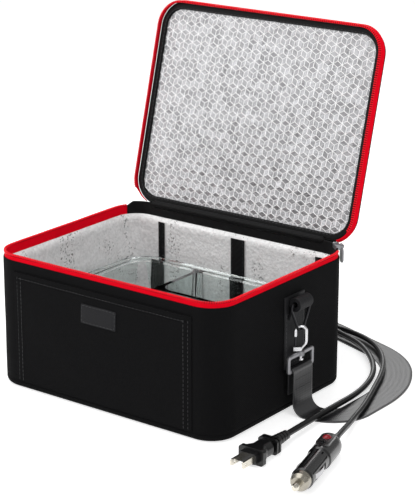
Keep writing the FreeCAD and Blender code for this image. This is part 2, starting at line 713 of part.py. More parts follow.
def hook_point(reach, drop):
    """Point in the hook's plane: reach across from its stem and drop below its top bend."""
    return Vec(float(reach), 0, -float(drop))


def hook_place(side):
    """Stand the hook in the ring's foot, turned part way round the stem."""
    top = side_middle() + UP * float(hook_top_z)
    local = FreeCAD.Placement(top, FreeCAD.Rotation(UP, float(dim.hook_turn)))
    return side_place(side).multiply(local)


def gate_pivot():
    return hook_point(-dim.hook_bend, dim.gate_pivot)


def make_hook(side):
    """Bent hook with a forked heel for the gate and a headed stem for the strap loop."""
    bend = dim.hook_bend
    stem_end = dim.hook_stem + dim.hook_stem_long
    points = [hook_point(-bend, dim.hook_nose), hook_point(-bend, 0), hook_point(bend, 0),
              hook_point(bend, dim.hook_spine), hook_point(0, dim.hook_stem), hook_point(0, stem_end)]
    bends = [float(size) for size in (bend, bend, dim.hook_elbow, dim.hook_neck)]
    shape = rod(points, bends, dim.hook_wire)
    eye, slack = float(dim.gate_eye), float(dim.gate_slack)
    cheek, tall = float(dim.heel_cheek), float(dim.heel_tall)
    pivot = gate_pivot()
    low = pivot.z - tall / 2
    for side_y in (-1, 1):
        start_y = eye / 2 + slack if side_y > 0 else -eye / 2 - slack - cheek
        corner = Vec(pivot.x - tall / 2, start_y, low)
        shape = shape.fuse(Part.makeBox(-corner.x, cheek, tall, corner))
    across = eye + 2 * slack + 2 * cheek
    pin = Part.makeCylinder(float(dim.gate_pin), across, pivot - BACK * (across / 2), BACK)
    head_at = hook_point(0, stem_end + dim.head_tall)
    head = Part.makeCylinder(float(dim.head_radius), float(dim.head_tall), head_at, UP)
    shape = shape.fuse([pin, head]).removeSplitter()
    keep_shape(f"snap_hook_{side}", shape, hook_place(side))


def make_gate(side):
    """Sprung gate: an eye on the heel's pin and a finger up to the nose."""
    pivot = gate_pivot()
    eye, width = float(dim.gate_eye), float(dim.gate_eye)
    finger = -float(dim.hook_nose + dim.gate_slack) - pivot.z
    shape = Part.makeCylinder(float(dim.gate_wire), finger, pivot, UP)
    shape = shape.fuse(Part.makeCylinder(eye, width, pivot - BACK * (width / 2), BACK))
    bore = Part.makeCylinder(float(dim.gate_pin + dim.wire_play), 4 * width, pivot - BACK * (2 * width), BACK)
    keep_shape(f"hook_gate_{side}", shape.cut(bore), hook_place(side))


def make_strap_loop(side):
    """Flat rectangular loop with a ribbed collar that turns on the hook's stem."""
    body = new_body(f"strap_loop_{side}")
    frame = sketch_on(body, "YZ", (dim.tab_middle, (loop_bar_z + loop_low_z) / 2, bar_x))
    rounded_loop(frame, dim.loop_width, dim.loop_tall, dim.loop_corner)
    bars = 4 * dim.loop_wire
    rounded_loop(frame, dim.loop_width - bars, dim.loop_tall - bars, dim.loop_edge)
    feature = pad(body, frame, dim.loop_thick, symmetric=True)
    doc.recompute()
    names = [f"Edge{number}" for number, edge in enumerate(feature.Shape.Edges, start=1) if edge.BoundBox.XLength < 1e-4]
    fillet = body.newObject("PartDesign::Fillet", "round")
    fillet.Base = (feature, names)
    bind(fillet, "Radius", dim.loop_edge)
    low = loop_bar_z - dim.collar_tall / 2
    collar = sketch_on(body, shift=(bar_x, dim.tab_middle, low))
    circle_loop(collar, dim.collar_radius)
    pad(body, collar, dim.collar_tall)
    for level in range(-1, 2):
        middle = loop_bar_z + level * dim.collar_pitch
        rib = sketch_on(body, shift=(bar_x, dim.tab_middle, middle))
        circle_loop(rib, dim.collar_radius + dim.collar_rib)
        pad(body, rib, dim.collar_rib_tall, symmetric=True)
    bore = sketch_on(body, shift=(bar_x, dim.tab_middle, loop_bar_z))
    circle_loop(bore, dim.hook_wire + dim.wire_play)
    pocket(body, bore, 2 * dim.collar_tall, symmetric=True)
    keep(f"strap_loop_{side}", body, side_place(side))


def make_strap_drop(side):
    """Strap end: over the loop's lower bar, down, and out on to the floor."""
    cloth = float(dim.strap_cloth)
    lap = float(dim.loop_wire + dim.strap_play) + cloth / 2
    x, z = float(bar_x), float(loop_low_z)
    out = x + float(dim.strap_step)
    near = float(dim.tab_middle - dim.strap_width / 2)
    points = [Vec(px, near, pz) for px, pz in ((x - lap, z - float(dim.strap_fold)), (x - lap, z + lap), (x + lap, z + lap),
                                               (x + lap, cloth / 2), (out, cloth / 2))]
    strip = ribbon(points, [lap, lap, float(dim.strap_bend)], cloth / 2, BACK, float(dim.strap_width))
    keep_shape(f"strap_drop_{side}", strip, side_place(side))


def make_strap():
    """Shoulder strap lying flat round the back of the bag, from one drop to the other."""
    middle = float(dim.tab_middle)
    turn, sweep = float(dim.strap_turn), float(dim.strap_sweep)
    drop_x = float(bar_x + dim.strap_step)
    right = [Vec(drop_x, middle, 0), Vec(drop_x + turn, middle, 0)]
    left = [Vec(-drop_x - turn, middle, 0), Vec(-drop_x, middle, 0)]
    rear = float(dim.bag_depth) / 2
    points = right + [Vec(side * float(bar_x) + out, rear + behind, 0) for side, out, behind in STRAP_BACK] + left
    bends = [turn - 1] + [sweep] * len(STRAP_BACK) + [turn - 1]
    strip = ribbon(points, bends, float(dim.strap_width) / 2, UP, float(dim.strap_cloth))
    keep_shape("shoulder_strap", strip)


# Zip slider and its pull, at the right-hand end of the zip

def slider_place():
    """On the rim's rear right corner: X outward, Y along the zip, Z up from the tape's top."""
    angle = float(dim.slider_turn)
    radius = float(dim.bag_corner - dim.shell_cloth - dim.tape_cloth / 2)
    centre = Vec(float(dim.bag_width / 2 - dim.bag_corner), float(dim.bag_depth / 2 - dim.bag_corner), 0)
    outward = FreeCAD.Rotation(UP, angle).multVec(ACROSS)
    return FreeCAD.Placement(centre + outward * radius + UP * float(dim.tape_top), FreeCAD.Rotation(UP, angle))


def bail_at():
    return Vec(float(dim.slider_thick) / 2 + float(dim.bail_reach), 0, float(dim.bail_height))


def make_slider():
    """Slider body with the bail that carries the pull."""
    long, thick, tall = float(dim.slider_long), float(dim.slider_thick), float(dim.slider_tall)
    block = Part.makeBox(thick, long, tall, Vec(-thick / 2, -long / 2, float(dim.zip_end_gap)))
    block = block.makeFillet(float(dim.slider_edge), block.Edges)
    post, half = float(dim.bail_post), float(dim.bail_half)
    bail = bail_at()
    wire = float(dim.bail_radius)
    parts = [Part.makeCylinder(wire, 2 * half, bail - BACK * half, BACK)]
    for side in (-1, 1):
        start = half if side > 0 else -half - post
        corner = Vec(thick / 2 - wire, start, bail.z - wire)
        parts.append(Part.makeBox(bail.x - corner.x + wire, post, 2 * wire, corner))
    keep_shape("zip_slider", block.fuse(parts).removeSplitter(), slider_place())


def make_pull():
    """Six-sided pull that hangs on the bail."""
    bail = bail_at()
    wide, long, thick = float(dim.pull_wide), float(dim.pull_long), float(dim.pull_thick)
    eye = float(dim.pull_eye)
    top, low = bail.z - eye, bail.z - long
    shoulder = wide / 3
    outline = [(-wide / 4, top), (wide / 4, top), (wide / 2, top - shoulder), (wide / 2, low + shoulder),
               (wide / 4, low), (-wide / 4, low), (-wide / 2, low + shoulder), (-wide / 2, top - shoulder)]
    corners = [Vec(bail.x - thick / 2, y, z) for y, z in outline]
    plate = Part.Face(Part.makePolygon(corners + corners[:1])).extrude(ACROSS * thick)
    half = float(dim.bail_half) - float(dim.gate_slack)
    knuckle = Part.makeCylinder(eye, 2 * half, bail - BACK * half, BACK)
    neck = Part.makeBox(thick, wide / 2, eye, Vec(bail.x - thick / 2, -wide / 4, top - eye / 2))
    bore = Part.makeCylinder(float(dim.bail_radius + dim.wire_play), 4 * half, bail - BACK * (2 * half), BACK)
    keep_shape("zip_pull", plate.fuse([neck, knuckle]).cut(bore).removeSplitter(), slider_place())


# Heating plate, drawn with its legs' feet at zero

heater_width = dim.bag_width - 2 * room_in - 2 * dim.heater_side_gap
heater_depth = dim.bag_depth - 2 * room_in - 2 * dim.heater_end_gap
heater_rim = dim.heater_leg + dim.heater_skirt
heater_inside = dim.heater_leg + dim.heater_floor
bay_face = heater_depth / 2 - dim.bay_depth
post_x = heater_width / 2 - dim.post_side
post_y = heater_depth / 2 - dim.post_end
stat_front = heater_depth / 2 - dim.stat_front


def heater_place():
    return FreeCAD.Placement(Vec(0, 0, float(seat)), FreeCAD.Rotation())


def make_heater_base():
    """Moulded base: a tray on four slanted legs, with a recessed socket bay in its front."""
    body = new_body("heater_base")
    outline = sketch_on(body)
    rounded_loop(outline, heater_width, heater_depth, dim.heater_corner)
    pad(body, outline, heater_rim)
    inside = sketch_on(body, shift=(0, 0, heater_rim))
    wall = 2 * dim.heater_wall
    rounded_loop(inside, heater_width - wall, heater_depth - wall, dim.heater_corner - dim.heater_wall)
    pocket(body, inside, dim.heater_skirt - dim.heater_floor)
    for plane, span in (("XZ", heater_width - 2 * dim.leg_width), ("YZ", heater_depth - 2 * dim.leg_depth)):
        gap = sketch_on(body, plane)
        slanted_loop(gap, span, span - 2 * dim.leg_slant, dim.heater_leg)
        pocket(body, gap, symmetric=True)
    add_socket_bay(body)
    wells = sketch_on(body)
    corner_circles(wells, dim.screw_well, post_x, post_y)
    pocket(body, wells, dim.screw_well_deep, reverse=True)
    holes = sketch_on(body)
    corner_circles(holes, dim.screw_radius + dim.screw_play, post_x, post_y)
    pocket(body, holes, heater_rim, reverse=True)
    keep("heater_base", body, heater_place())


def add_socket_bay(body):
    """Bay walls that hang a little below the skirt, open at the front, with two socket holes behind."""
    deep = dim.bay_depth + dim.heater_wall
    low = dim.heater_leg - dim.bay_drop
    walls = sketch_on(body, shift=(0, deep / 2 - heater_depth / 2, low))
    box_loop(walls, dim.bay_width + 2 * dim.heater_wall, deep)
    pad(body, walls, heater_rim - low)
    notch = sketch_on(body, shift=(0, -heater_depth / 2, 0))
    box_loop(notch, dim.bay_width, 2 * dim.bay_depth)
    pocket(body, notch, symmetric=True)
    inlet = sketch_on(body, "XZ", (dim.inlet_middle, dim.socket_height, bay_face))
    play = 2 * dim.inlet_play
    box_loop(inlet, dim.inlet_width + play, dim.inlet_tall + play)
    pocket(body, inlet, dim.heater_wall)
    jack = sketch_on(body, "XZ", (dim.jack_middle, dim.socket_height, bay_face))
    circle_loop(jack, dim.jack_radius + dim.jack_play)
    pocket(body, jack, dim.heater_wall)


def make_heater_top():
    """Aluminium plate with four threaded posts that stand on the base's floor."""
    body = new_body("heater_top")
    outline = sketch_on(body, shift=(0, 0, heater_rim))
    rounded_loop(outline, heater_width, heater_depth, dim.heater_corner)
    plate = pad(body, outline, dim.top_plate)
    round_level(body, plate, heater_rim + dim.top_plate, dim.top_edge)
    notch = sketch_on(body, shift=(0, -heater_depth / 2, 0))
    box_loop(notch, dim.bay_width, 2 * dim.bay_depth)
    pocket(body, notch, symmetric=True)
    posts = sketch_on(body, shift=(0, 0, heater_inside))
    corner_circles(posts, dim.post_radius, post_x, post_y)
    pad(body, posts, dim.heater_skirt - dim.heater_floor)
    holes = sketch_on(body, shift=(0, 0, heater_inside))
    corner_circles(holes, dim.post_hole, post_x, post_y)
    pocket(body, holes, dim.post_hole_deep, reverse=True)
    keep("heater_top", body, heater_place())


def make_heater_screws():
    """Four screws up through the legs into the plate's posts."""
    seat_z = float(dim.screw_well_deep)
    tall, reach = float(dim.screw_head_tall), float(heater_inside + dim.screw_reach)
    screws = []
    for side_x in (-1, 1):
        for side_y in (-1, 1):
            at = Vec(side_x * float(post_x), side_y * float(post_y), seat_z)
            head = Part.makeCylinder(float(dim.screw_head), tall, at - UP * tall, UP)
            shank = Part.makeCylinder(float(dim.screw_radius), reach - seat_z, at, UP)
            screws.append(head.fuse(shank).removeSplitter())
    keep_shape("heater_screws", Part.makeCompound(screws), heater_place())


def box_part(label, width, depth, tall, corner, placement):
    """Plain block bound to the sheet."""
    item = doc.addObject("Part::Box", label)
    bind(item, "Length", width)
    bind(item, "Width", depth)
    bind(item, "Height", tall)
    place = FreeCAD.Placement(Vec(*(float(value) for value in corner)), FreeCAD.Rotation())
    return keep(label, item, placement.multiply(place))


def make_heater_inside():
    film_low = heater_rim - dim.film_thick
    film_width = heater_width - 2 * dim.film_side
    film_depth = heater_depth - dim.film_front - dim.film_rear
    box_part("heating_film", film_width, film_depth, dim.film_thick,
             (-film_width / 2, dim.film_front - heater_depth / 2, film_low), heater_place())
    box_part("thermostat", dim.stat_long, dim.stat_wide, dim.stat_tall,
             (dim.stat_middle - dim.stat_long / 2, -stat_front, heater_rim - dim.stat_tall), heater_place())


def socket_point(across, inward):
    """Point on a socket's axis, at a depth in from the bay's rear wall."""
    return Vec(float(across), float(inward) - float(bay_face), float(dim.socket_height))


def figure_eight(radius, pitch, middle, depth):
    """Two round wells joined across the middle."""
    wells = [Part.makeCylinder(radius, depth, middle + ACROSS * (side * pitch / 2), BACK) for side in (-1, 1)]
    joint = Part.makeBox(pitch, depth, 2 * radius, middle - ACROSS * (pitch / 2) - UP * radius)
    return wells[0].fuse([wells[1], joint])


def make_inlet():
    """Two-pole appliance inlet with a lip on the bay's wall."""
    wide, tall = float(dim.inlet_width), float(dim.inlet_tall)
    lip, flange, brow = float(dim.inlet_lip), float(dim.inlet_flange), float(dim.inlet_brow)
    face = socket_point(dim.inlet_middle, -dim.inlet_lip)
    plate_corner = face - ACROSS * (wide / 2 + flange) - UP * (tall / 2 + brow)
    plate = Part.makeBox(wide + 2 * flange, lip, tall + 2 * brow, plate_corner)
    plate = plate.makeFillet(flange, [edge for edge in plate.Edges if abs(edge.tangentAt(edge.FirstParameter).y) > 0.9])
    block_corner = face - ACROSS * (wide / 2) - UP * (tall / 2)
    block = Part.makeBox(wide, float(dim.inlet_deep), tall, block_corner)
    well = figure_eight(float(dim.well_radius), float(dim.pin_pitch), face, float(dim.inlet_well))
    keep_shape("ac_inlet", plate.fuse(block).cut(well).removeSplitter(), heater_place())


def make_jack():
    """Round power jack: a black body and its bright ring nut."""
    deep, lip = float(dim.jack_deep), float(dim.jack_lip)
    face = socket_point(dim.jack_middle, -dim.jack_lip)
    body = Part.makeCylinder(float(dim.jack_radius), deep, face, BACK)
    body = body.cut(Part.makeCylinder(float(dim.jack_bore), float(dim.jack_well), face, BACK))
    keep_shape("dc_jack", body, heater_place())
    ring = Part.makeCylinder(float(dim.jack_rim), lip, face, BACK)
    outer_edge = [edge for edge in ring.Edges if abs(edge.BoundBox.YMax - face.y) < 1e-6]
    ring = ring.makeChamfer(lip / 4, outer_edge)
    ring = ring.cut(Part.makeCylinder(float(dim.jack_radius + dim.jack_play), lip, face, BACK))
    keep_shape("jack_ring", ring, heater_place())


def make_socket_pins():
    """Contact pins: a pair in the inlet and one in the jack."""
    pins = []
    inlet_end = dim.inlet_well - dim.inlet_lip
    for side in (-1, 1):
        start = socket_point(dim.inlet_middle + side * dim.pin_pitch / 2, inlet_end - dim.pin_long)
        pins.append(Part.makeCylinder(float(dim.pin_radius), float(dim.pin_long), start, BACK))
    start = socket_point(dim.jack_middle, dim.jack_lip / 4 - dim.jack_lip)
    long = float(dim.jack_well - dim.jack_lip / 4)
    pins.append(Part.makeCylinder(float(dim.jack_pin), long, start, BACK))
    keep_shape("socket_pins", Part.makeCompound(pins), heater_place())


def make_heater_wires():
    """Inner wires: inlet to film, inlet to thermostat, jack to film."""
    inlet_rear = dim.inlet_deep - dim.inlet_lip
    jack_rear = dim.jack_deep - dim.jack_lip
    film_z = float(heater_rim - dim.film_thick)
    stat = Vec(float(dim.stat_middle), float(dim.stat_wide - stat_front), float(heater_rim - dim.stat_tall / 2))
    quarter = dim.inlet_width / 4
    starts = [socket_point(dim.inlet_middle - quarter, inlet_rear), socket_point(dim.inlet_middle + quarter, inlet_rear),
              socket_point(dim.jack_middle, jack_rear)]
    out = BACK * float(dim.wire_out)
    aside = ACROSS * float(dim.wire_aside) + BACK * float(dim.wire_along)
    turns = [starts[0] + out + aside - ACROSS * float(2 * dim.wire_aside), stat + BACK * float(dim.wire_along),
             starts[2] + out + aside]
    routes = [[starts[0], starts[0] + out, turns[0], Vec(turns[0].x, turns[0].y, film_z)],
              [starts[1], starts[1] + out * 1.3, turns[1], stat],
              [starts[2], starts[2] + out, turns[2], Vec(turns[2].x, turns[2].y, film_z)]]
    bends = [float(dim.wire_bend), float(dim.wire_rise_bend)]
    wires = [rod(route, bends, dim.wire_lead) for route in routes]
    keep_shape("heater_wires", Part.makeCompound(wires), heater_place())


# Glass tray, drawn with its foot at zero

tray_width = heater_width - 2 * dim.tray_side
tray_depth = heater_depth - 2 * dim.tray_end


def tray_place():
    height = seat + heater_rim + dim.top_plate
    return FreeCAD.Placement(Vec(0, 0, float(height)), FreeCAD.Rotation())


def loft_well(body, shift_x, shift_y, width, depth):
    """Tapered compartment from the rim down to the tray's floor."""
    sketches = []
    slope = 2 * dim.well_draft
    for height, less in ((dim.tray_tall, as_size(0)), (dim.tray_floor, slope)):
        sketch = sketch_on(body, shift=(shift_x, shift_y, height))
        rounded_loop(sketch, width - less, depth - less, dim.well_corner)
        sketches.append(sketch)
    feature = body.newObject("PartDesign::SubtractiveLoft", "well")
    feature.Profile = sketches[0]
    feature.Sections = [sketches[1]]
    feature.Ruled = True
    return feature


def make_tray():
    """Pressed glass tray: sloped walls, a rim, one long compartment and two short ones."""
    body = new_body("glass_tray")
    slope = 2 * dim.tray_draft
    foot = (tray_width - slope, tray_depth - slope, dim.tray_corner - dim.tray_draft / 2)
    top = (tray_width, tray_depth, dim.tray_corner)
    loft_between(body, "PartDesign::AdditiveLoft", as_size(0), foot, dim.tray_tall, top)
    rim = sketch_on(body, shift=(0, 0, dim.tray_tall - dim.tray_rim_tall))
    reach = 2 * dim.tray_rim
    rounded_loop(rim, tray_width + reach, tray_depth + reach, dim.tray_corner + dim.tray_rim)
    feature = pad(body, rim, dim.tray_rim_tall)
    round_level(body, feature, 0, dim.tray_foot)
    room_x = tray_width - 2 * dim.tray_wall - dim.tray_divider
    room_y = tray_depth - 2 * dim.tray_wall
    long_well = room_x * dim.tray_split
    short_well = room_x - long_well
    left = -tray_width / 2 + dim.tray_wall
    loft_well(body, left + long_well / 2, as_size(0), long_well, room_y)
    middle = left + long_well + dim.tray_divider + short_well / 2
    half_y = (room_y - dim.tray_divider) / 2
    for side in (-1, 1):
        loft_well(body, middle, side * (half_y + dim.tray_divider) / 2, short_well, half_y)
    keep("glass_tray", body, tray_place())


# Leads: coils, free stretches, plugs and connectors

class Coil:
    """Put-away coil: in along the lower layer, up at the reversal, and out along the upper one."""

    def __init__(self, cord, at_x, at_y, inner, end_height):
        self.tube = float(cord) / 2
        self.centre = Vec(float(at_x), float(at_y), 0)
        self.inner = float(inner)
        self.step = float(cord * dim.coil_step)
        self.low = self.tube + float(dim.coil_lift)
        self.end_height = float(end_height)
        self.turns = float(dim.coil_turns)

    def point(self, turn):
        """Place on the tube's middle line; the turn runs from -0.5 at the connector."""
        reach = abs(turn - self.turns / 2) - 0.25
        radius = self.inner + self.step * max(0.0, reach)
        angle = math.pi / 2 - 2 * math.pi * (turn - self.turns)
        climb = ease((turn - self.turns / 2 + 0.25) / 0.5)
        height = self.low + self.step * climb + (self.end_height - self.low) * ease(-turn / 0.5)
        return self.centre + Vec(radius * math.cos(angle), radius * math.sin(angle), height)

    def way(self, turn):
        """Direction along the tube, level at the two ends."""
        small = 0.002
        way = self.point(turn + small) - self.point(turn - small)
        return unit(way)

    def end(self, last):
        """End of the tube after a straight diameter, and its direction outward."""
        turn = self.turns if last else -0.5
        way = self.way(turn) * (1 if last else -1)
        way = unit(Vec(way.x, way.y, 0))
        return self.point(turn) + way * (2 * self.tube), way


def ease(share):
    """Smooth step from 0 to 1."""
    share = min(1.0, max(0.0, share))
    return share * share * (3 - 2 * share)


def arc_middle(start, way, end):
    """Middle of the arc that leaves start along way and reaches end."""
    chord = end - start
    along = unit(chord)
    side = way - along * way.dot(along)
    if side.Length < 1e-9:
        return None
    bulge = chord.Length / 2 * math.tan(way.getAngle(along) / 2)
    return (start + end) / 2 + unit(side) * bulge


def biarc(start, way_in, end, way_out):
    """Two arcs that leave start and reach end along the given directions."""
    span = end - start
    both = way_in + way_out
    blend = 2 * (1 - way_in.dot(way_out))
    pull = span.dot(both)
    if blend < 1e-9:
        reach = span.Length ** 2 / (2 * pull)
    else:
        reach = (math.sqrt(pull ** 2 + blend * span.dot(span)) - pull) / blend
    middle = (start + end + (way_in - way_out) * reach) / 2
    return [run_edge(start, arc_middle(start, way_in, middle), middle),
            run_edge(middle, arc_middle(end, way_out * -1, middle), end)]


def make_coil(label, coil):
    """One unbroken tube wound by the coil's formula, on biarcs of a quarter turn."""
    first, out = coil.end(False)
    last, _ = coil.end(True)
    stops = [-0.5 + 0.25 * number for number in range(int(4 * coil.turns) + 3)]
    ways = [coil.way(turn) for turn in stops]
    ways[0] = out * -1
    ways[-1] = coil.end(True)[1]
    edges = [run_edge(first, None, coil.point(stops[0]))]
    for here, there, way_in, way_out in zip(stops, stops[1:], ways, ways[1:]):
        edges += biarc(coil.point(here), way_in, coil.point(there), way_out)
    edges.append(run_edge(coil.point(stops[-1]), None, last))
    wire = Part.Wire(edges)
    profile = Part.Wire(Part.makeCircle(coil.tube, first, out * -1))
    solid = wire.makePipeShell([profile], True, False)
    keep_shape(label, solid)
    print(f"{label}: length {wire.Length:.0f}, least gap {coil_gap(coil):.2f}, "
          f"volume share {solid.Volume / (math.pi * coil.tube ** 2 * wire.Length):.3f}")


def coil_gap(coil):
    """Least gap between one turn and another, measured on points."""
    stops = [-0.5 + number / 60 for number in range(60 * int(coil.turns) + 31)]
    points = [coil.point(turn) for turn in stops]
    least = min((points[b] - points[a]).Length
                for a in range(len(points)) for b in range(a + 30, len(points)))
    return least - 2 * coil.tube


def cord_radii(points):
    """Arc radius at each inner point: as large as the two runs allow."""
    radii = []
    for before, corner, after in zip(points, points[1:], points[2:]):
        turn = (corner - before).getAngle(after - corner)
        shorter = min((corner - before).Length, (after - corner).Length)
        radii.append(0.45 * shorter / math.tan(turn / 2))
    return radii


def make_cord(label, coil, route, plug_at, plug_height):
    """Free stretch of a lead, from its coil to its plug's strain relief."""
    start, _ = coil.end(True)
    end = Vec(*plug_at, float(plug_height))
    points = [start] + [Vec(*point) for point in route] + [end]
    radii = cord_radii(points)
    keep_shape(label, rod(points, radii, coil.tube))
    print(f"{label}: start {start.x:.2f} {start.y:.2f} {start.z:.2f}, "
          f"radii {[round(radius) for radius in radii]}")


def make_ties(coils):
    """Hook-and-loop tie round the turns of each coil."""
    ties = []
    for coil in coils:
        play, cloth, wide = float(dim.tie_play), float(dim.tie_cloth), float(dim.tie_wide)
        room = float(dim.tie_room)
        low_r = coil.inner - coil.tube - room
        high_r = coil.inner + 1.5 * coil.step + coil.tube + room
        low_z = coil.low - coil.tube - play
        high_z = coil.low + coil.step + coil.tube + play
        inner = Part.makeBox(high_r - low_r, 3 * wide, high_z - low_z, Vec(low_r, -1.5 * wide, low_z))
        outer = Part.makeBox(high_r - low_r + 2 * cloth, wide, high_z - low_z + 2 * cloth,
                             Vec(low_r - cloth, -wide / 2, low_z - cloth))
        outer = outer.makeFillet(coil.tube, [edge for edge in outer.Edges if edge.BoundBox.YLength > wide / 2])
        tie = outer.cut(inner)
        tie.translate(coil.centre)
        ties.append(tie)
    keep_shape("lead_ties", Part.makeCompound(ties))


def aim_place(at, height, aim):
    """Stand a turned or lofted piece's own Z axis along an aim on the floor, wide side level."""
    way = unit(Vec(*aim, 0))
    axes = FreeCAD.Rotation(UP.cross(way), UP, way, "ZYX")
    return FreeCAD.Placement(Vec(*at, float(height)), axes)


def turned(stations):
    """Turned solid from pairs of place along Z and radius."""
    outline = [Vec(0, 0, float(stations[0][0]))]
    outline += [Vec(float(radius), 0, float(place)) for place, radius in stations]
    outline.append(Vec(0, 0, float(stations[-1][0])))
    face = Part.Face(Part.makePolygon(outline + outline[:1]))
    return face.revolve(Vec(0, 0, 0), UP, 360)


def rounded_wire(width, depth, radius, height):
    """Rounded rectangle as a wire at a height."""
    x, y = width / 2, depth / 2
    corners = [Vec(x, 0, height), Vec(x, y, height), Vec(-x, y, height), Vec(-x, -y, height), Vec(x, -y, height),
               Vec(x, 0, height)]
    return Part.Wire([run_edge(start, middle, end) for start, middle, end, _, _ in route_runs(corners, [radius] * 4)])


def lofted(stations):
    """Ruled loft through rounded rectangles: place, width, depth and corner radius."""
    wires = [rounded_wire(width, depth, radius, float(place)) for place, width, depth, radius in stations]
    return Part.makeLoft(wires, True, True)


def ribbed_relief(long, start_radius, end_radius, groove=dim.relief_groove):
    """Strain relief that thickens towards its plug, with four grooves round it."""
    stations = []
    ribs, groove = 5, float(groove)
    for rib in range(int(ribs)):
        low, high = long * rib / ribs, long * (rib + 0.7) / ribs
        radius = start_radius + (end_radius - start_radius) * rib / (ribs - 1)
        stations += [(low, radius), (high, radius)]
        if rib < ribs - 1:
            stations += [(high, radius - groove), (long * (rib + 1) / ribs, radius - groove)]
    stations.append((long, stations[-1][1]))
    return turned(stations)


def make_mains_plug():
    """Two-blade plug: ribbed relief, two collars, grip, eared flange and face, with its blades apart."""
    relief, grip, lip = float(dim.plug_relief), float(dim.plug_long), float(dim.plug_lip)
    flange = relief + grip
    front = flange + float(dim.plug_face_long)
    corner, waist, waist_tall = float(dim.plug_corner), float(dim.plug_waist), float(dim.plug_waist_tall)
    wide, tall = float(dim.plug_wide), float(dim.plug_tall)
    neck, neck_tall = float(dim.plug_neck), float(dim.plug_neck_tall)
    collar, collar_tall = float(dim.plug_collar), float(dim.plug_collar_tall)
    thick, gap = float(dim.plug_collar_thick), float(dim.plug_collar_gap)
    shoulder = relief + 2 * thick + gap
    body = lofted([(relief, neck, neck_tall, corner), (shoulder, neck, neck_tall, corner),
                   (shoulder + grip * 0.12, waist, waist_tall, 2 * corner),
                   (shoulder + grip * 0.4, waist, waist_tall, 2 * corner),
                   (flange - lip, wide * 0.9, tall * 0.9, corner)])
    for low in (relief, relief + thick + gap):
        body = body.fuse(lofted([(place, collar, collar_tall, corner) for place in (low, low + thick)]))
    body = body.fuse(lofted([(place, wide, tall, corner) for place in (flange - lip, flange)]))
    face, face_tall = float(dim.plug_face), float(dim.plug_face_tall)
    body = body.fuse(lofted([(place, face, face_tall, corner / 2) for place in (flange, front)]))
    boot = ribbed_relief(relief, float(dim.plug_boot), float(dim.plug_boot_end), dim.boot_groove)
    body = body.fuse(boot).removeSplitter()
    place = aim_place(AC_PLUG_AT, dim.plug_height, AC_PLUG_AIM)
    keep_shape("ac_plug", body, place)
    blades = []
    thick, broad, long = float(dim.blade_thick), float(dim.blade_wide), float(dim.blade_long)
    for side in (-1, 1):
        middle = side * float(dim.blade_pitch) / 2
        blade = Part.makeBox(thick, broad, long, Vec(middle - thick / 2, -broad / 2, front))
        tips = [edge for edge in blade.Edges if edge.BoundBox.XLength > thick / 2 and edge.BoundBox.ZMin > front + 1]
        blade = blade.makeFillet(broad / 4, tips)
        hole_at = Vec(middle - thick, 0, front + long * 0.68)
        blades.append(blade.cut(Part.makeCylinder(float(dim.blade_hole), 2 * thick, hole_at, ACROSS)))
    keep_shape("ac_plug_blades", Part.makeCompound(blades), place)


def make_mains_connector(coil):
    """Two-pole appliance connector on the mains lead's other end."""
    at, way = coil.end(False)
    relief, shroud, nose = float(dim.shroud_relief), float(dim.shroud_long), float(dim.nose_long)
    grip_end = relief + shroud
    wide, tall, corner = float(dim.shroud_wide), float(dim.shroud_tall), float(dim.shroud_corner)
    body = lofted([(relief, float(dim.shroud_neck), tall * 0.75, corner * 0.85),
                   (relief + shroud * 0.35, wide, tall, corner), (grip_end, wide, tall, corner)])
    tip_wide, tip_tall, tip_corner = float(dim.nose_wide), float(dim.nose_tall), float(dim.nose_corner)
    tip = lofted([(place, tip_wide, tip_tall, tip_corner) for place in (grip_end, grip_end + nose)])
    start = coil.tube + float(dim.relief_rise)
    body = body.fuse(tip).fuse(ribbed_relief(relief, start, float(dim.relief_radius) - 0.4)).removeSplitter()
    bore, half = float(dim.pin_radius + dim.pin_room), float(dim.pin_pitch) / 2
    bores = [Part.makeCylinder(bore, nose, Vec(side * half, 0, grip_end), UP) for side in (-1, 1)]
    keep_shape("ac_connector", body.cut(bores), aim_place((at.x, at.y), at.z, (way.x, way.y)))


def car_plug_profile(relief, neck, front):
    """Outline of the car plug's body: domed tail, smooth head and barrel."""
    head, tail, barrel = float(dim.car_head_radius), float(dim.car_tail_radius), float(dim.car_barrel_radius)
    dome, edge = float(dim.car_tail_long), float(dim.car_barrel_edge)
    stations = []
    for angle in range(0, 91, 15):
        turn = math.radians(angle)
        stations.append((relief + dome * (1 - math.cos(turn)), tail + (head - tail) * math.sin(turn)))
    return stations + [(neck - edge, head), (neck, barrel), (front - edge, barrel), (front, barrel - edge / 2)]


def car_window(relief, neck):
    """Raised oval on the head's top, and the round recess near its front end."""
    wide, long = float(dim.car_window_wide), float(dim.car_window_long)
    top = float(dim.car_head_radius + dim.car_window_rise)
    oval = Part.Face(rounded_wire(wide, long, wide / 2 - 0.1, 0)).extrude(UP * top)
    oval.rotate(Vec(0, 0, 0), ACROSS, -90)
    oval.translate(Vec(0, 0, (relief + neck) / 2))
    deep = float(dim.car_stud_deep)
    stud_at = Vec(0, top - deep, (relief + neck + long) / 2 - wide / 2)
    return oval, Part.makeCylinder(float(dim.car_stud), 2 * deep, stud_at, BACK)


def barrel_grooves(neck, front):
    """Grooves along the barrel, between the two side springs."""
    edge, wide, deep = float(dim.car_barrel_edge), float(dim.car_groove_wide), float(dim.car_groove_deep)
    corner = Vec(float(dim.car_barrel_radius) - deep, -wide / 2, neck + edge)
    groove = Part.makeBox(2 * deep, wide, front - neck - 3 * edge, corner)
    angles = [angle for angle in range(0, 360, 30) if angle % 180]
    return [groove.rotated(Vec(0, 0, 0), UP, angle) for angle in angles]


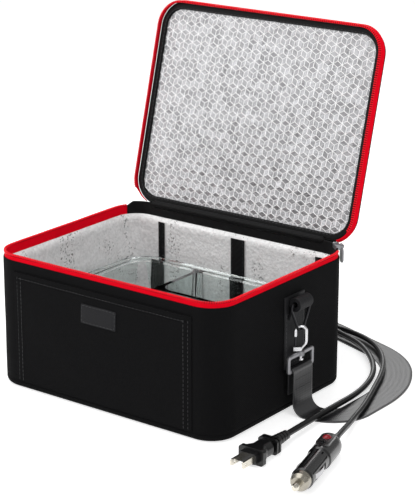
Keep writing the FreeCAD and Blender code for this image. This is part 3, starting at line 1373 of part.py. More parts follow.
def make_car_plug():
    """Car plug: turned body, bright ring, sprung tip, side springs and indicator lens."""
    relief, head, barrel = float(dim.car_relief), float(dim.car_head), float(dim.car_barrel)
    neck = relief + head
    front = neck + barrel
    ring, tip = float(dim.car_ring), float(dim.car_tip)
    oval, stud = car_window(relief, neck)
    body = turned(car_plug_profile(relief, neck, front)).fuse(oval)
    start = float(dim.dc_cord / 2 + dim.relief_rise)
    body = body.fuse(ribbed_relief(relief, start, float(dim.relief_radius))).removeSplitter()
    deep = barrel / 3
    socket = Part.makeCylinder(tip + float(dim.car_tip_play), ring + deep, Vec(0, 0, front - deep), UP)
    lens_high = float(dim.car_head_radius + dim.car_window_rise - dim.car_lens_sunk)
    lens = Part.makeSphere(float(dim.car_lens), Vec(0, lens_high, relief + head * 0.4))
    slots = [slot for slot, _ in side_leaves(neck, barrel)]
    body = body.cut([socket, lens, stud] + slots + barrel_grooves(neck, front))
    place = aim_place(CAR_PLUG_AT, dim.car_height, CAR_PLUG_AIM)
    keep_shape("car_plug_body", body, place)
    keep_shape("car_plug_lens", lens, place)
    ring_back, ring_front = float(dim.car_ring_radius), float(dim.car_ring_front)
    collar = turned([(front, ring_back), (front + ring * 0.6, ring_back * 0.94), (front + ring, ring_front)])
    keep_shape("car_plug_ring", collar.cut(socket), place)
    top = front + ring + float(dim.car_tip_long)
    root = front - float(dim.car_tip_root)
    contact = turned([(root, tip), (top - tip, tip), (top - tip * 0.3, tip * 0.8), (top, tip * 0.4)])
    keep_shape("car_plug_tip", contact, place)
    keep_shape("car_plug_springs", Part.makeCompound([leaf for _, leaf in side_leaves(neck, barrel)]), place)


def side_leaves(neck, barrel):
    """Slot and bowed leaf spring on each side of the barrel."""
    pairs = []
    low, high = neck + barrel * 0.22, neck + barrel * 0.8
    wide, thick, room = float(dim.leaf_wide), float(dim.leaf_thick), float(dim.leaf_room)
    foot = float(dim.car_barrel_radius) - 2 * thick
    crown = float(dim.car_barrel_radius + dim.leaf_bow)
    middle = (low + high) / 2
    outer = Part.Arc(Vec(foot, 0, low), Vec(crown, 0, middle), Vec(foot, 0, high)).toShape()
    inner = Part.Arc(Vec(foot - thick, 0, low), Vec(crown - thick, 0, middle), Vec(foot - thick, 0, high)).toShape()
    caps = [run_edge(Vec(foot, 0, place), None, Vec(foot - thick, 0, place)) for place in (low, high)]
    leaf = Part.Face(Part.Wire(Part.__sortEdges__([outer, inner] + caps))).extrude(BACK * wide)
    leaf.translate(BACK * (-wide / 2))
    corner = Vec(foot - thick, -wide / 2 - room, low - room)
    slot = Part.makeBox(2 * thick + crown, wide + 2 * room, high - low + 2 * room, corner)
    for angle in (0, 180):
        pairs.append((slot.rotated(Vec(0, 0, 0), UP, angle), leaf.rotated(Vec(0, 0, 0), UP, angle)))
    return pairs


def make_barrel_connector(coil):
    """Barrel connector on the other end of the car lead."""
    at, way = coil.end(False)
    relief, grip, barrel = float(dim.barrel_relief), float(dim.barrel_grip), float(dim.barrel_long)
    front = relief + grip
    wide, thin = float(dim.barrel_grip_radius), float(dim.barrel_radius)
    body = turned([(relief, wide * 0.85), (relief + grip * 0.2, wide), (front - wide * 0.4, wide), (front, wide * 0.85),
                   (front, thin), (front + barrel, thin)])
    start = coil.tube + float(dim.relief_rise)
    body = body.fuse(ribbed_relief(relief, start, wide * 0.82)).removeSplitter()
    bore = Part.makeCylinder(float(dim.jack_pin + dim.pin_room), barrel, Vec(0, 0, front), UP)
    keep_shape("dc_connector", body.cut(bore), aim_place((at.x, at.y), at.z, (way.x, way.y)))


def make_leads():
    mains = Coil(dim.ac_cord, dim.ac_coil_x, dim.ac_coil_y, dim.ac_coil_inner, dim.ac_end_height)
    car = Coil(dim.dc_cord, dim.dc_coil_x, dim.dc_coil_y, dim.dc_coil_inner, dim.dc_end_height)
    make_coil("ac_coil", mains)
    make_cord("ac_cord", mains, AC_ROUTE, AC_PLUG_AT, dim.plug_height)
    make_mains_plug()
    make_mains_connector(mains)
    make_coil("dc_coil", car)
    make_cord("dc_cord", car, DC_ROUTE, CAR_PLUG_AT, dim.car_height)
    make_car_plug()
    make_barrel_connector(car)
    make_ties([mains, car])


def make_all():
    make_bag()
    make_body_zip()
    make_front()
    make_seam_tapes()
    make_lid_shell()
    make_lid_filling()
    make_lid_zip()
    make_hinge_piping()
    make_handle()
    for side in ("right", "left"):
        make_side_tab(side)
        make_ring(side)
        make_hook(side)
        make_gate(side)
        make_strap_loop(side)
        make_strap_drop(side)
    make_strap()
    make_slider()
    make_pull()
    make_heater_base()
    make_heater_top()
    make_heater_screws()
    make_heater_inside()
    make_inlet()
    make_jack()
    make_socket_pins()
    make_heater_wires()
    make_tray()
    make_leads()


def check_all():
    """Stop on any object that failed or any shape that is missing or not valid."""
    doc.recompute()
    for item in doc.Objects:
        if "Invalid" in item.State or "Error" in item.State:
            raise RuntimeError(f"{item.Label} failed: {item.State}")
    for label, item in nodes.items():
        if item.Shape.isNull() or not item.Shape.isValid() or not item.Shape.Solids:
            raise RuntimeError(f"{label} has no valid solid")


def write_all():
    os.makedirs("parts", exist_ok=True)
    for label, item in nodes.items():
        item.Shape.exportStep(f"parts/{label}.step")


make_all()
check_all()
write_all()
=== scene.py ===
import json
import math

import bmesh
import bpy
from bpy.props import FloatProperty, FloatVectorProperty, PointerProperty
from mathutils import Matrix, Vector, noise


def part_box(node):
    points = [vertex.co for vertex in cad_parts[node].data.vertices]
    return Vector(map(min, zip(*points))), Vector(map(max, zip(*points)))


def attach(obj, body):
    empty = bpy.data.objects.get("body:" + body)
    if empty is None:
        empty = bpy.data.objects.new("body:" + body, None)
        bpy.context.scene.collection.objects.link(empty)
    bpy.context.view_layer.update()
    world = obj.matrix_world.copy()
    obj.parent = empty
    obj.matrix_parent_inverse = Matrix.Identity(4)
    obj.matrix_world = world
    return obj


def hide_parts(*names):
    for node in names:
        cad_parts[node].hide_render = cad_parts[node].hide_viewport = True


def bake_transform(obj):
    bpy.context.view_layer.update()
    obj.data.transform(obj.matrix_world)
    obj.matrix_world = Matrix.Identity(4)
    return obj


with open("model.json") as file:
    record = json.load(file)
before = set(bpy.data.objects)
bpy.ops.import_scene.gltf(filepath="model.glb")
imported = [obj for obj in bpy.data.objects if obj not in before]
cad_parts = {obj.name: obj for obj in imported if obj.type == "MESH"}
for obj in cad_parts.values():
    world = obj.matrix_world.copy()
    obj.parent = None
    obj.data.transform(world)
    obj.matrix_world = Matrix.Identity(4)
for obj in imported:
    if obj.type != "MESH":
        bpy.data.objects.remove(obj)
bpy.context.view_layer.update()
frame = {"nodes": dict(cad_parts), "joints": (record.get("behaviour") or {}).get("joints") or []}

bl_info = {
    "name": "Heated lunch bag",
    "version": (1, 0, 0),
    "blender": (4, 5, 0),
    "location": "View3D > Sidebar > Lunch bag",
    "description": "Sews, lines and finishes a heated lunch bag round its packed CAD model",
    "category": "Object",
}

# Lengths in this file are millimetres, and pieces are turned to metres when they are made.
MM = 0.001
UP = Vector((0, 0, 1))
ACROSS = Vector((1, 0, 0))
BACK = Vector((0, 1, 0))


def spot(node):
    """Lowest and highest corner of a CAD node, in millimetres."""
    low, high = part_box(node)
    return low / MM, high / MM


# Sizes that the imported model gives
WALL_TOP = spot("wall_shell")[1].z
HALF_WIDE = spot("wall_shell")[1].x
HALF_DEEP = spot("wall_shell")[1].y
TAPE_LOW = spot("zip_tape_body")[0].z
BEAD_TOP = spot("zip_tape_body")[1].z
LID_JOINT = next(joint for joint in frame["joints"] if joint["name"] == "lid_hinge")
HINGE = Vector(LID_JOINT["pos_m"]) / MM
LID_OPEN = math.radians(LID_JOINT["range_deg"][1])
TAB_LOW, TAB_HIGH = spot("side_tab_right")
RING_LOW, RING_HIGH = spot("strap_ring_right")

# Sizes of the soft goods, as the source has them, but with the hem drawn up and the lid's edge drawn in
BAG_CORNER = 28
LID_CORNER = 29
LID_OVERHANG = 0.6
HEM_TOP = WALL_TOP + 1.8
SHELL_CLOTH = 1.2
BASE_EDGE = 5.5
BASE_SEAM = 7
TAPE_HEM = 130
TAPE_TOP = 136
LID_BEAD_LOW = 138.2
LID_TAPE_LOW = 140
LID_LOW = 146
LID_TOP = 155.5
LID_EDGE = 8
BINDING_LOW = 142.8
BINDING_INSETS = (2.7, 9.4)
LINING_INSET = 7
LINING_FLOOR = 7.8
# Insets and heights of the lip that the lining is turned over at its top
LINING_LIP = ((6.6, 123.6), (5.6, 125.6), (4.4, 126.8), (3.9, 127.4))
# The rear band's rise beyond the ends of the piping, and where it starts on either side
BAND_RISE = 4.4
PIPING_REACH = 103
# Heights of the ring's bar and of the loop's lower bar
RING_BAR = 111.0
LOOP_BAR = 44.4

# The turn that brings what is drawn closed to the open lid of the rest pose
LID_TURN = (Matrix.Translation(HINGE) @ Matrix.Rotation(-LID_OPEN, 4, "X")
            @ Matrix.Translation(-HINGE))


def linear(code):
    """A colour with full alpha from an sRGB hex value."""
    shares = [int(code[at:at + 2], 16) / 255 for at in (1, 3, 5)]
    return [s / 12.92 if s <= 0.04045 else ((s + 0.055) / 1.055) ** 2.4 for s in shares] + [1.0]


def length(name, text, default):
    """A size that a user may change, kept in metres."""
    return FloatProperty(name=name, description=text, default=default * MM, min=0.0,
                         precision=5, subtype="DISTANCE", unit="LENGTH")


def colour(name, text, code):
    return FloatVectorProperty(name=name, description=text, default=linear(code), size=4,
                               min=0.0, max=1.0, subtype="COLOR")


def turn(name, text, degrees):
    return FloatProperty(name=name, description=text, default=math.radians(degrees),
                         subtype="ANGLE", unit="ROTATION")


class LunchBagSizes(bpy.types.PropertyGroup):
    """Sizes of the sewing, the foil and the camera's place."""

    wall_swell: length("Wall swell", "How far the padded front wall stands out in its middle", 1.3)
    stitch: length("Stitch", "Length of one stitch", 3.0)
    stitch_gap: length("Stitch gap", "Gap between two stitches", 1.1)
    thread: length("Thread", "Thickness of the sewing thread", 0.55)
    tooth_pitch: length("Zip tooth pitch", "Distance from one turn of the zip's coil to the next", 2.2)
    weave: length("Weave", "Thread spacing of the outer cloth, drawn coarser than life so that it shows", 1.1)
    webbing_rib: length("Webbing rib", "Distance between the ribs of the webbing", 2.4)
    foil_crease: length("Foil crease", "Depth of the creases in the bag's foil lining", 0.9)
    emboss: length("Emboss", "Edge of one diamond embossed in the lid's foil", 6.35)
    emboss_depth: length("Emboss depth", "Height between the diamonds' high and low corners", 1.5)
    view_distance: length("View distance", "From the camera to the point that it looks at", 1801.6)
    view_azimuth: turn("View azimuth", "Camera's turn to the right of the front", 37.03)
    view_elevation: turn("View elevation", "Camera's height above the horizon", 17.79)
    lens: FloatProperty(name="Lens", description="Camera's focal length in millimetres",
                        default=134.03, min=1.0)


class LunchBagColours(bpy.types.PropertyGroup):
    """Colours of the cloth, foil, plastics and metals."""

    cloth: colour("Cloth", "Outer cloth of bag and lid", "#111112")
    label: colour("Label", "Bare label patch on the pocket", "#222224")
    zip_red: colour("Zip red", "Zip tape and coil round the rim", "#f0021f")
    thread: colour("Thread", "Sewing thread of all the seams", "#29292b")
    foil: colour("Foil", "Lining film of the bag", "#fafafa")
    lid_foil: colour("Lid foil", "Embossed film of the lid", "#c4c4c7")
    webbing: colour("Webbing", "Strap, tabs and handle", "#1d1d1f")
    plate: colour("Plate", "Coated top of the heating plate", "#8e8b90")
    plate_base: colour("Plate base", "Moulded base of the heating plate", "#2c2c31")
    plastic: colour("Plastic", "Plugs and sockets", "#0e0e0f")
    cord: colour("Cord", "Jackets of the two leads", "#070708")
    lens: colour("Lens", "Car plug's indicator lens", "#b01224")
    pull: colour("Zip pull", "Moulded pull on the zip's slider", "#8c8c90")


# Shader building

def add(tree, kind, inputs=None, **settings):
    """Adds a node with its own settings, and fills or links its inputs by name or number."""
    made = tree.nodes.new("ShaderNode" + kind)
    for name, value in settings.items():
        setattr(made, name, value)
    for name, value in (inputs or {}).items():
        if isinstance(value, bpy.types.NodeSocket):
            tree.links.new(value, made.inputs[name])
        else:
            made.inputs[name].default_value = value
    return made


def new_material(name, base, **sockets):
    """A material with plain values on its shader's sockets, given as words joined by underscores."""
    material = bpy.data.materials.new(name)
    material.use_nodes = True
    shader = material.node_tree.nodes["Principled BSDF"]
    shader.inputs["Base Color"].default_value = base
    for socket, value in sockets.items():
        shader.inputs[socket.replace("_", " ")].default_value = value
    return material, material.node_tree, shader


def per_mm(size):
    """Scale of a noise or cell pattern whose features are this many millimetres wide."""
    return 1 / (size * MM)


def bands(spacing):
    """Scale of a wave pattern whose bands lie this many millimetres apart."""
    return 2 * math.pi / 20 / (spacing * MM)


def shade(colour_value, factor):
    """The same colour, lighter or darker, with full alpha."""
    return [min(1.0, channel * factor) for channel in colour_value[:3]] + [1.0]


def grain(tree, where, size, detail=2.0):
    """Noise with features this many millimetres wide."""
    return add(tree, "TexNoise", {"Vector": where, "Scale": per_mm(size), "Detail": detail}).outputs["Fac"]


def cells(tree, where, size):
    """Cells with random colours, this many millimetres wide."""
    return add(tree, "TexVoronoi", {"Vector": where, "Scale": per_mm(size), "Randomness": 1.0})


def waves(tree, where, spacing, direction, **more):
    """Bands that lie this many millimetres apart."""
    return add(tree, "TexWave", {"Vector": where, "Scale": bands(spacing), **more}, bands_direction=direction)


def mix_colours(tree, factor, low, high):
    """A colour between two others."""
    return add(tree, "Mix", {0: factor, 6: low, 7: high}, data_type="RGBA").outputs[2]


def raise_bump(tree, shader, height, depth, strength):
    """Presses a height pattern into a surface, to a depth in millimetres."""
    bump = add(tree, "Bump", {"Height": height, "Distance": depth * MM, "Strength": strength})
    tree.links.new(bump.outputs["Normal"], shader.inputs["Normal"])


def mottle(tree, shader, where, size, base, spread):
    """Lets a colour drift a little between a darker and a lighter tone over a size in millimetres."""
    drift = grain(tree, where, size, 3.0)
    tones = mix_colours(tree, drift, shade(base, 1 - spread), shade(base, 1 + spread))
    tree.links.new(tones, shader.inputs["Base Color"])
    return drift


def vary_roughness(tree, shader, factor, low, high):
    """Roughness that follows a pattern between two values."""
    span = add(tree, "MapRange", {"Value": factor, "To Min": low, "To Max": high})
    tree.links.new(span.outputs["Result"], shader.inputs["Roughness"])


# Cloth, webbing and tape: each pattern is a function of a node tree and a place in UVs

def plain_weave(spacing):
    """Threads that cross over and under."""
    def height(tree, where):
        warp, weft = [waves(tree, where, spacing, way).outputs["Color"] for way in "XY"]
        checks = add(tree, "TexChecker", {"Vector": where, "Scale": per_mm(spacing), "Color1": (1, 1, 1, 1),
                                          "Color2": (0, 0, 0, 1)})
        return mix_colours(tree, checks.outputs["Fac"], warp, weft)
    return height


def slant_ribs(spacing, **more):
    """Ribs that run diagonally."""
    def height(tree, where):
        return waves(tree, where, spacing, "DIAGONAL", **more).outputs["Fac"]
    return height


def webbing_ribs(spacing):
    """Ribs across the webbing, over cords along it that are twice as wide."""
    def height(tree, where):
        ribs = waves(tree, where, spacing, "Y").outputs["Fac"]
        cords = waves(tree, where, 2 * spacing, "X").outputs["Fac"]
        return add(tree, "Math", {0: ribs, 1: cords}, operation="MULTIPLY").outputs["Value"]
    return height


def woven(name, base, drift, pattern, bump, sheen=None, **sockets):
    """Woven stuff: a tone that drifts over a size by a share, and a pattern pressed in to a depth."""
    material, tree, shader = new_material(name, base, **sockets)
    where = add(tree, "UVMap", uv_map="metres").outputs[0]
    size, spread = drift
    tone = mottle(tree, shader, where, size, base, spread)
    if sheen:
        vary_roughness(tree, shader, tone, *sheen)
    raise_bump(tree, shader, pattern(tree, where), *bump)
    return material


def oxford_polyester(look, sizes):
    """Woven oxford polyester: matt black, with a fine basket of threads and a soft bloom."""
    return woven("oxford_polyester", look.cloth, (35, 0.16), plain_weave(sizes.weave / MM), (0.22, 0.55),
                 (0.74, 0.92), Roughness=0.82, Specular_IOR_Level=0.06)


def label_cloth(look):
    """Close woven label tape: a little greyer and smoother than the cloth that it is sewn to."""
    return woven("woven_label_tape", look.label, (6, 0.15), plain_weave(0.8), (0.15, 0.5),
                 Roughness=0.7, Specular_IOR_Level=0.15)


def zip_tape(look):
    """Woven zip tape: bright red polyester with slanting ribs and a satin face."""
    return woven("woven_zip_tape", look.zip_red, (14, 0.1), slant_ribs(1.0, Distortion=0.4, Detail=1.0),
                 (0.2, 0.6), Roughness=0.75, Specular_IOR_Level=0.05)


def nylon_webbing(name, look, sizes, roughness, ior):
    """Woven nylon webbing: dark ribs, dull where it is loosely woven and satin where it is pressed."""
    return woven(name, look.webbing, (22, 0.14), webbing_ribs(sizes.webbing_rib / MM), (0.3, 0.3),
                 Roughness=roughness, IOR=ior)


def binding_tape(look):
    """Bias binding: black ribbed tape cut across the weave, so its ribs run diagonally."""
    return woven("bias_binding_tape", shade(look.cloth, 0.9), (12, 0.12), slant_ribs(3.2), (0.25, 0.4),
                 Roughness=0.6, Specular_IOR_Level=0.15)


def sewing_thread(look):
    """Bonded polyester thread: black, tight and a little shiny on its crown."""
    material, tree, shader = new_material("bonded_thread", look.thread, Roughness=0.45)
    where = add(tree, "TexCoord").outputs["Object"]
    raise_bump(tree, shader, slant_ribs(0.5)(tree, where), 0.05, 0.5)
    return material


def foil_film(name, base, crease, metal, patch, uneven, fleck_strength):
    """Aluminised film on foam: bright, crumpled into small facets, with near-black flecks in upright bands.
    """
    material, tree, shader = new_material(name, base, Metallic=metal, Roughness=0.34)
    where = add(tree, "TexCoord").outputs["Object"]
    vary_roughness(tree, shader, grain(tree, where, 16, 3.0), 0.24, 0.46)
    tones = mix_colours(tree, cells(tree, where, patch).outputs["Color"], shade(base, 1 - uneven), base)
    upright = add(tree, "Mapping", {"Vector": where, "Scale": (1, 1, 0.3)}).outputs[0]
    folded = add(tree, "MapRange", {"Value": grain(tree, upright, 24), "From Min": 0.54, "From Max": 0.64})
    fine_fleck_mask = add(tree, "MapRange", {"Value": grain(tree, where, 2.4, 3.0), "From Min": 0.56, "From Max": 0.64,
                                  "To Max": fleck_strength})
    # Near-black flecks where the upright bands and the fine speckle overlap.
    dark_fleck_mask = add(tree, "Math", {0: folded.outputs[0], 1: fine_fleck_mask.outputs[0]}, operation="MULTIPLY")
    flecked_tones = mix_colours(tree, dark_fleck_mask.outputs[0], tones, shade(base, 0.08))
    tree.links.new(flecked_tones, shader.inputs["Base Color"])
    facets = cells(tree, where, crease).outputs["Distance"]
    fine = add(tree, "TexNoise", {"Vector": where, "Scale": per_mm(crease * 0.6), "Detail": 4.0,
                                  "Roughness": 0.65})
    both = add(tree, "Math", {0: facets, 1: fine.outputs["Fac"]}, operation="ADD")
    raise_bump(tree, shader, both.outputs["Value"], 0.55, 0.75)
    return material


# Plastics, metals and glass

def solid_finish(name, base, drift, sheen=None, spark=None, **sockets):
    """Solid stuff: a tone that drifts over a size by a share, a sheen that follows it, and a fine spark."""
    material, tree, shader = new_material(name, base, **sockets)
    where = add(tree, "TexCoord").outputs["Object"]
    size, spread = drift
    tone = mottle(tree, shader, where, size, base, spread)
    if sheen:
        vary_roughness(tree, shader, tone, *sheen)
    if spark:
        width, depth, strength = spark
        raise_bump(tree, shader, grain(tree, where, width), depth, strength)
    return material


def zip_coil(look):
    """Extruded nylon coil of the zip: the tape's red, smooth and slightly clear, so each turn glints."""
    return solid_finish("nylon_zip_coil", shade(look.zip_red, 1.06), (9, 0.08), (0.34, 0.48),
                        Roughness=0.4, IOR=1.53, Specular_IOR_Level=0.2)


def filler_cord_painted_shade(look):
    """Braided cord that the zip's coil is wound on: the zip's red darkened to about a fifth, which paints the
    shade between the turns.
    """
    return solid_finish("braided_cord_painted_shade", shade(look.zip_red, 0.22), (3, 0.2),
                        Roughness=0.85, Specular_IOR_Level=0.05)


def foil_line_painted_highlight(look):
    """Lines where the lid's film is heat-pressed: duller than the film between them, and coloured white as a
    painted highlight of the light that the raised lines catch.
    """
    return solid_finish("pressed_foil_line_painted_highlight", shade(look.foil, 1.12), (4, 0.05), (0.36, 0.55),
                        Metallic=0.25, Roughness=0.42)


def moulded_plastic(name, base, roughness, width, depth, coat=0.0):
    """Injection-moulded plastic: even colour with the fine spark texture of its mould."""
    return solid_finish(name, base, (25, 0.06), (roughness - 0.05, roughness + 0.07), (width, depth, 0.6),
                        Roughness=roughness, IOR=1.5, Coat_Weight=coat, Coat_Roughness=0.15)


def plated_metal(name, code, roughness, streak):
    """Plated and tumbled metal: bright, with soft handling marks that drift over its sheen."""
    return solid_finish(name, linear(code), (streak, 0.08), (roughness * 0.75, roughness * 1.4),
                        Metallic=1.0, Roughness=roughness)


def coated_aluminium(look):
    """Satin non-stick coating sprayed on pressed aluminium: grey, fine-grained, with a broad soft glow."""
    return solid_finish("coated_aluminium", look.plate, (60, 0.05), (0.36, 0.5), (0.9, 0.06, 0.5),
                        Metallic=0.35, Roughness=0.42)


def pvc_jacket(look):
    """Extruded PVC jacket: black and smooth, with a long bright line where it faces the light."""
    return solid_finish("extruded_pvc_jacket", look.cord, (18, 0.12), (0.16, 0.26), (1.4, 0.05, 0.4),
                        Roughness=0.22, Specular_IOR_Level=0.3)


def acrylic_lens(look):
    """Moulded acrylic lens: clear red, deep in colour, with a polished face."""
    return solid_finish("red_acrylic_lens", look.lens, (3, 0.08), Roughness=0.08, IOR=1.49,
                        Transmission_Weight=0.45)


def pressed_glass():
    """Pressed borosilicate glass: clear, with the slight ripple that the mould leaves on its faces."""
    material, tree, shader = new_material("pressed_borosilicate_glass", linear("#f4fbf9"), Roughness=0.015,
                                          IOR=1.47, Transmission_Weight=1.0)
    where = add(tree, "TexCoord").outputs["Object"]
    raise_bump(tree, shader, grain(tree, where, 28, 1.0), 0.5, 0.25)
    return material


# Meshes

class Skin:
    """Points in millimetres with faces, UVs in metres and finishes, gathered for one piece."""

    def __init__(self):
        self.points = []
        self.faces = []
        self.uvs = []
        self.finishes = []

    def face(self, corners, uvs, finish=0):
        self.faces.append(list(corners))
        self.uvs.append(list(uvs))
        self.finishes.append(finish)

    def loft(self, rings, closed=False, caps=False, finish=0):
        """A skin through rings of points, each ring closed or open, with flat ends if asked."""
        first = len(self.points)
        count = len(rings[0])
        middle = rings[len(rings) // 2]
        around = [0.0]
        for here, there in zip(middle, middle[1:] + middle[:1]):
            around.append(around[-1] + (Vector(there) - Vector(here)).length * MM)
        along = [0.0]
        for here, there in zip(rings, rings[1:]):
            along.append(along[-1] + (Vector(there[0]) - Vector(here[0])).length * MM)
        for ring in rings:
            self.points.extend(Vector(point) for point in ring)
        for row in range(len(rings) - 1):
            for at in range(count if closed else count - 1):
                beside = (at + 1) % count
                low, high = first + row * count, first + (row + 1) * count
                self.face((low + at, low + beside, high + beside, high + at),
                          ((around[at], along[row]), (around[at + 1], along[row]),
                           (around[at + 1], along[row + 1]), (around[at], along[row + 1])), finish)
        if caps:
            for start in (first, first + (len(rings) - 1) * count):
                corners = range(start, start + count)
                self.face(corners, [self.points[c].xy * MM for c in corners], finish)

    def band(self, runs, finish=0):
        """A closed tape: runs of points side by side all the way round its section, with both ends shut."""
        first = len(self.points)
        self.loft(list(runs) + [runs[0]], finish=finish)
        count = len(runs[0])
        for end in (0, count - 1):
            corners = [first + row * count + end for row in range(len(runs))]
            self.face(corners, [(0, row * MM) for row in range(len(runs))], finish)

    def stitch(self, start, end, outward, thread):
        """One stitch that rises from the cloth and dips back at both ends."""
        start, end, outward = Vector(start), Vector(end), Vector(outward).normalized()
        way = (end - start).normalized()
        side = way.cross(outward)
        rings = []
        for share, size in ((0.0, 0.35), (0.16, 0.85), (0.5, 1.0), (0.84, 0.85), (1.0, 0.35)):
            radius = thread / 2 * size
            middle = start.lerp(end, share) + outward * (thread * 0.3 * (size - 0.75))
            rings.append([middle + side * (radius * math.cos(a)) + outward * (radius * math.sin(a))
                          for a in (math.pi * k / 3 for k in range(6))])
        self.loft(rings, closed=True, caps=True, finish=1)

    def seam(self, line, outward, sizes):
        """A row of stitches along a line on the cloth, in the thread that is the piece's second finish."""
        long, gap = sizes.stitch / MM, sizes.stitch_gap / MM
        total = line_length(line)
        count = max(1, round(total / (long + gap)))
        step = total / count
        spread = long / (long + gap)
        for number in range(count):
            start = point_along(line, number * step)
            end = point_along(line, (number + spread) * step)
            self.stitch(start, end, outward, sizes.thread / MM)

    def sewn_box(self, corners, outward, sizes, crossed=False):
        """Seams through four corners, and from corner to corner if asked."""
        pairs = [(0, 1), (1, 2), (2, 3), (3, 0)]
        if crossed:
            pairs += [(0, 2), (1, 3)]
        for start, end in pairs:
            self.seam([corners[start], corners[end]], outward, sizes)

    def strip(self, line, width, cloth, across=None):
        """Flat webbing along its middle line, with both ends shut."""
        self.loft(webbing_rings(line, width, cloth, across), closed=True, caps=True)

    def turned(self, matrix):
        self.points = [matrix @ point for point in self.points]
        return self

    def make(self, name, materials, body=None, replaces=(), slot=None, sharp=40):
        """The finished object, on the CAD body that carries it."""
        mesh = bpy.data.meshes.new(name)
        mesh.from_pydata([point * MM for point in self.points], [], self.faces)
        layer = mesh.uv_layers.new(name="metres")
        layer.data.foreach_set("uv", [value for corner in self.uvs for pair in corner for value in pair])
        mesh.polygons.foreach_set("material_index", self.finishes)
        mesh.polygons.foreach_set("use_smooth", [True] * len(self.faces))
        for material in materials:
            mesh.materials.append(material)
        form = bmesh.new()
        form.from_mesh(mesh)
        bmesh.ops.recalc_face_normals(form, faces=form.faces)
        form.to_mesh(mesh)
        form.free()
        mesh.set_sharp_from_angle(angle=math.radians(sharp))
        made = bpy.data.objects.new(name, mesh)
        bpy.context.scene.collection.objects.link(made)
        if replaces:
            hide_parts(*replaces)
        if body:
            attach(made, body)
        return made


def line_length(line):
    return sum((Vector(b) - Vector(a)).length for a, b in zip(line, line[1:]))


def point_along(line, reach):
    """The place at a distance along a line of points."""
    for here, there in zip(line, line[1:]):
        run = (Vector(there) - Vector(here)).length
        if reach <= run:
            return Vector(here).lerp(Vector(there), reach / run if run else 0.0)
        reach -= run
    return Vector(line[-1])


def spaced(line, step):
    """The same line with points at even steps."""
    total = line_length(line)
    count = max(1, round(total / step))
    return [point_along(line, total * number / count) for number in range(count + 1)]


def fold_line(points, bends, step=2.0):
    """Middle line of webbing that folds at its inner points, each to its own radius."""
    corners = [Vector(point) for point in points]
    line = [corners[0]]
    for before, corner, after, bend in zip(corners, corners[1:], corners[2:], bends):
        way_in = (corner - before).normalized()
        way_out = (after - corner).normalized()
        angle = way_in.angle(way_out)
        centre = corner + (way_out - way_in).normalized() * (bend / math.cos(angle / 2))
        start = corner - way_in * (bend * math.tan(angle / 2)) - centre
        axis = way_in.cross(way_out).normalized()
        count = max(3, round(bend * angle / step))
        turns = [Matrix.Rotation(angle * step_at / count, 3, axis) for step_at in range(count + 1)]
        line += [centre + turned @ start for turned in turns]
    line.append(corners[-1])
    return spaced(line, step)


def webbing_rings(line, width, cloth, across=None):
    """Sections of flat webbing along its middle line: rounded selvedges and a face with shallow channels."""
    half, thick = width / 2, cloth / 2
    columns = 16
    face = [(-half + 0.5 + (width - 1.0) * k / columns, thick - 0.05 * (k % 2)) for k in range(columns + 1)]
    section = ([(-half, 0.0), (-half + 0.12, thick * 0.7)] + face + [(half - 0.12, thick * 0.7), (half, 0.0)]
               + [(half - 0.12, -thick * 0.7)] + [(u, -v) for u, v in reversed(face)]
               + [(-half + 0.12, -thick * 0.7)])
    rings = []
    for at, point in enumerate(line):
        way = (line[min(at + 1, len(line) - 1)] - line[max(at - 1, 0)]).normalized()
        side = across or UP.cross(way).normalized()
        outward = way.cross(side).normalized()
        rings.append([point + side * u + outward * v for u, v in section])
    return rings


# The bag's outline

FRONT_STEPS = 32
SIDE_STEPS = 24
CORNER_STEPS = 12
ROUND = 2 * FRONT_STEPS + 2 * SIDE_STEPS + 4 * CORNER_STEPS
# The zip's coil runs from two thirds of the way round one rear corner to the same place at the other
ZIP_START = FRONT_STEPS // 2 + 2 * CORNER_STEPS // 3
ZIP_RUN = range(ZIP_START, ROUND - ZIP_START + 1)
REAR_RUN = [at % ROUND for at in range(ROUND - ZIP_START, ROUND + ZIP_START + 1)]
# The lid's tape goes on past the coil's ends, to the ends of the piping
TAPE_PAST = 5
TAPE_RISE = max(1.8, spot("zip_slider")[1].z + 0.5 - LID_TAPE_LOW)
LID_RUN = range(ZIP_START - TAPE_PAST, ROUND - ZIP_START + TAPE_PAST + 1)


def outline(half_x, half_y, corner, inset=0.0):
    """Places and outward directions round a rounded rectangle, from the rear's middle by the left side."""
    half_x, half_y, corner = half_x - inset, half_y - inset, max(corner - inset, 0.5)
    flat_x, flat_y = half_x - corner, half_y - corner
    runs = [((0, half_y), (-flat_x, half_y), FRONT_STEPS // 2, 90, (-flat_x, flat_y)),
            ((-half_x, flat_y), (-half_x, -flat_y), SIDE_STEPS, 180, (-flat_x, -flat_y)),
            ((-flat_x, -half_y), (flat_x, -half_y), FRONT_STEPS, 270, (flat_x, -flat_y)),
            ((half_x, -flat_y), (half_x, flat_y), SIDE_STEPS, 0, (flat_x, flat_y)),
            ((flat_x, half_y), (0, half_y), FRONT_STEPS // 2, None, None)]
    places = []
    for start, end, steps, first, centre in runs:
        way = Vector((0, 1)) if first is None else Vector((math.cos(math.radians(first)),
                                                           math.sin(math.radians(first))))
        for step in range(steps):
            places.append((Vector(start).lerp(Vector(end), step / steps), way))
        if centre:
            for step in range(CORNER_STEPS):
                angle = math.radians(first + 90 * step / CORNER_STEPS)
                out = Vector((math.cos(angle), math.sin(angle)))
                places.append((Vector(centre) + out * corner, out))
    return places


def bag_run(inset, height, run=range(ROUND)):
    """Points of the bag's outline at an inset and a height."""
    places = outline(HALF_WIDE, HALF_DEEP, BAG_CORNER, inset)
    return [places[at][0].to_3d() + UP * height for at in run]


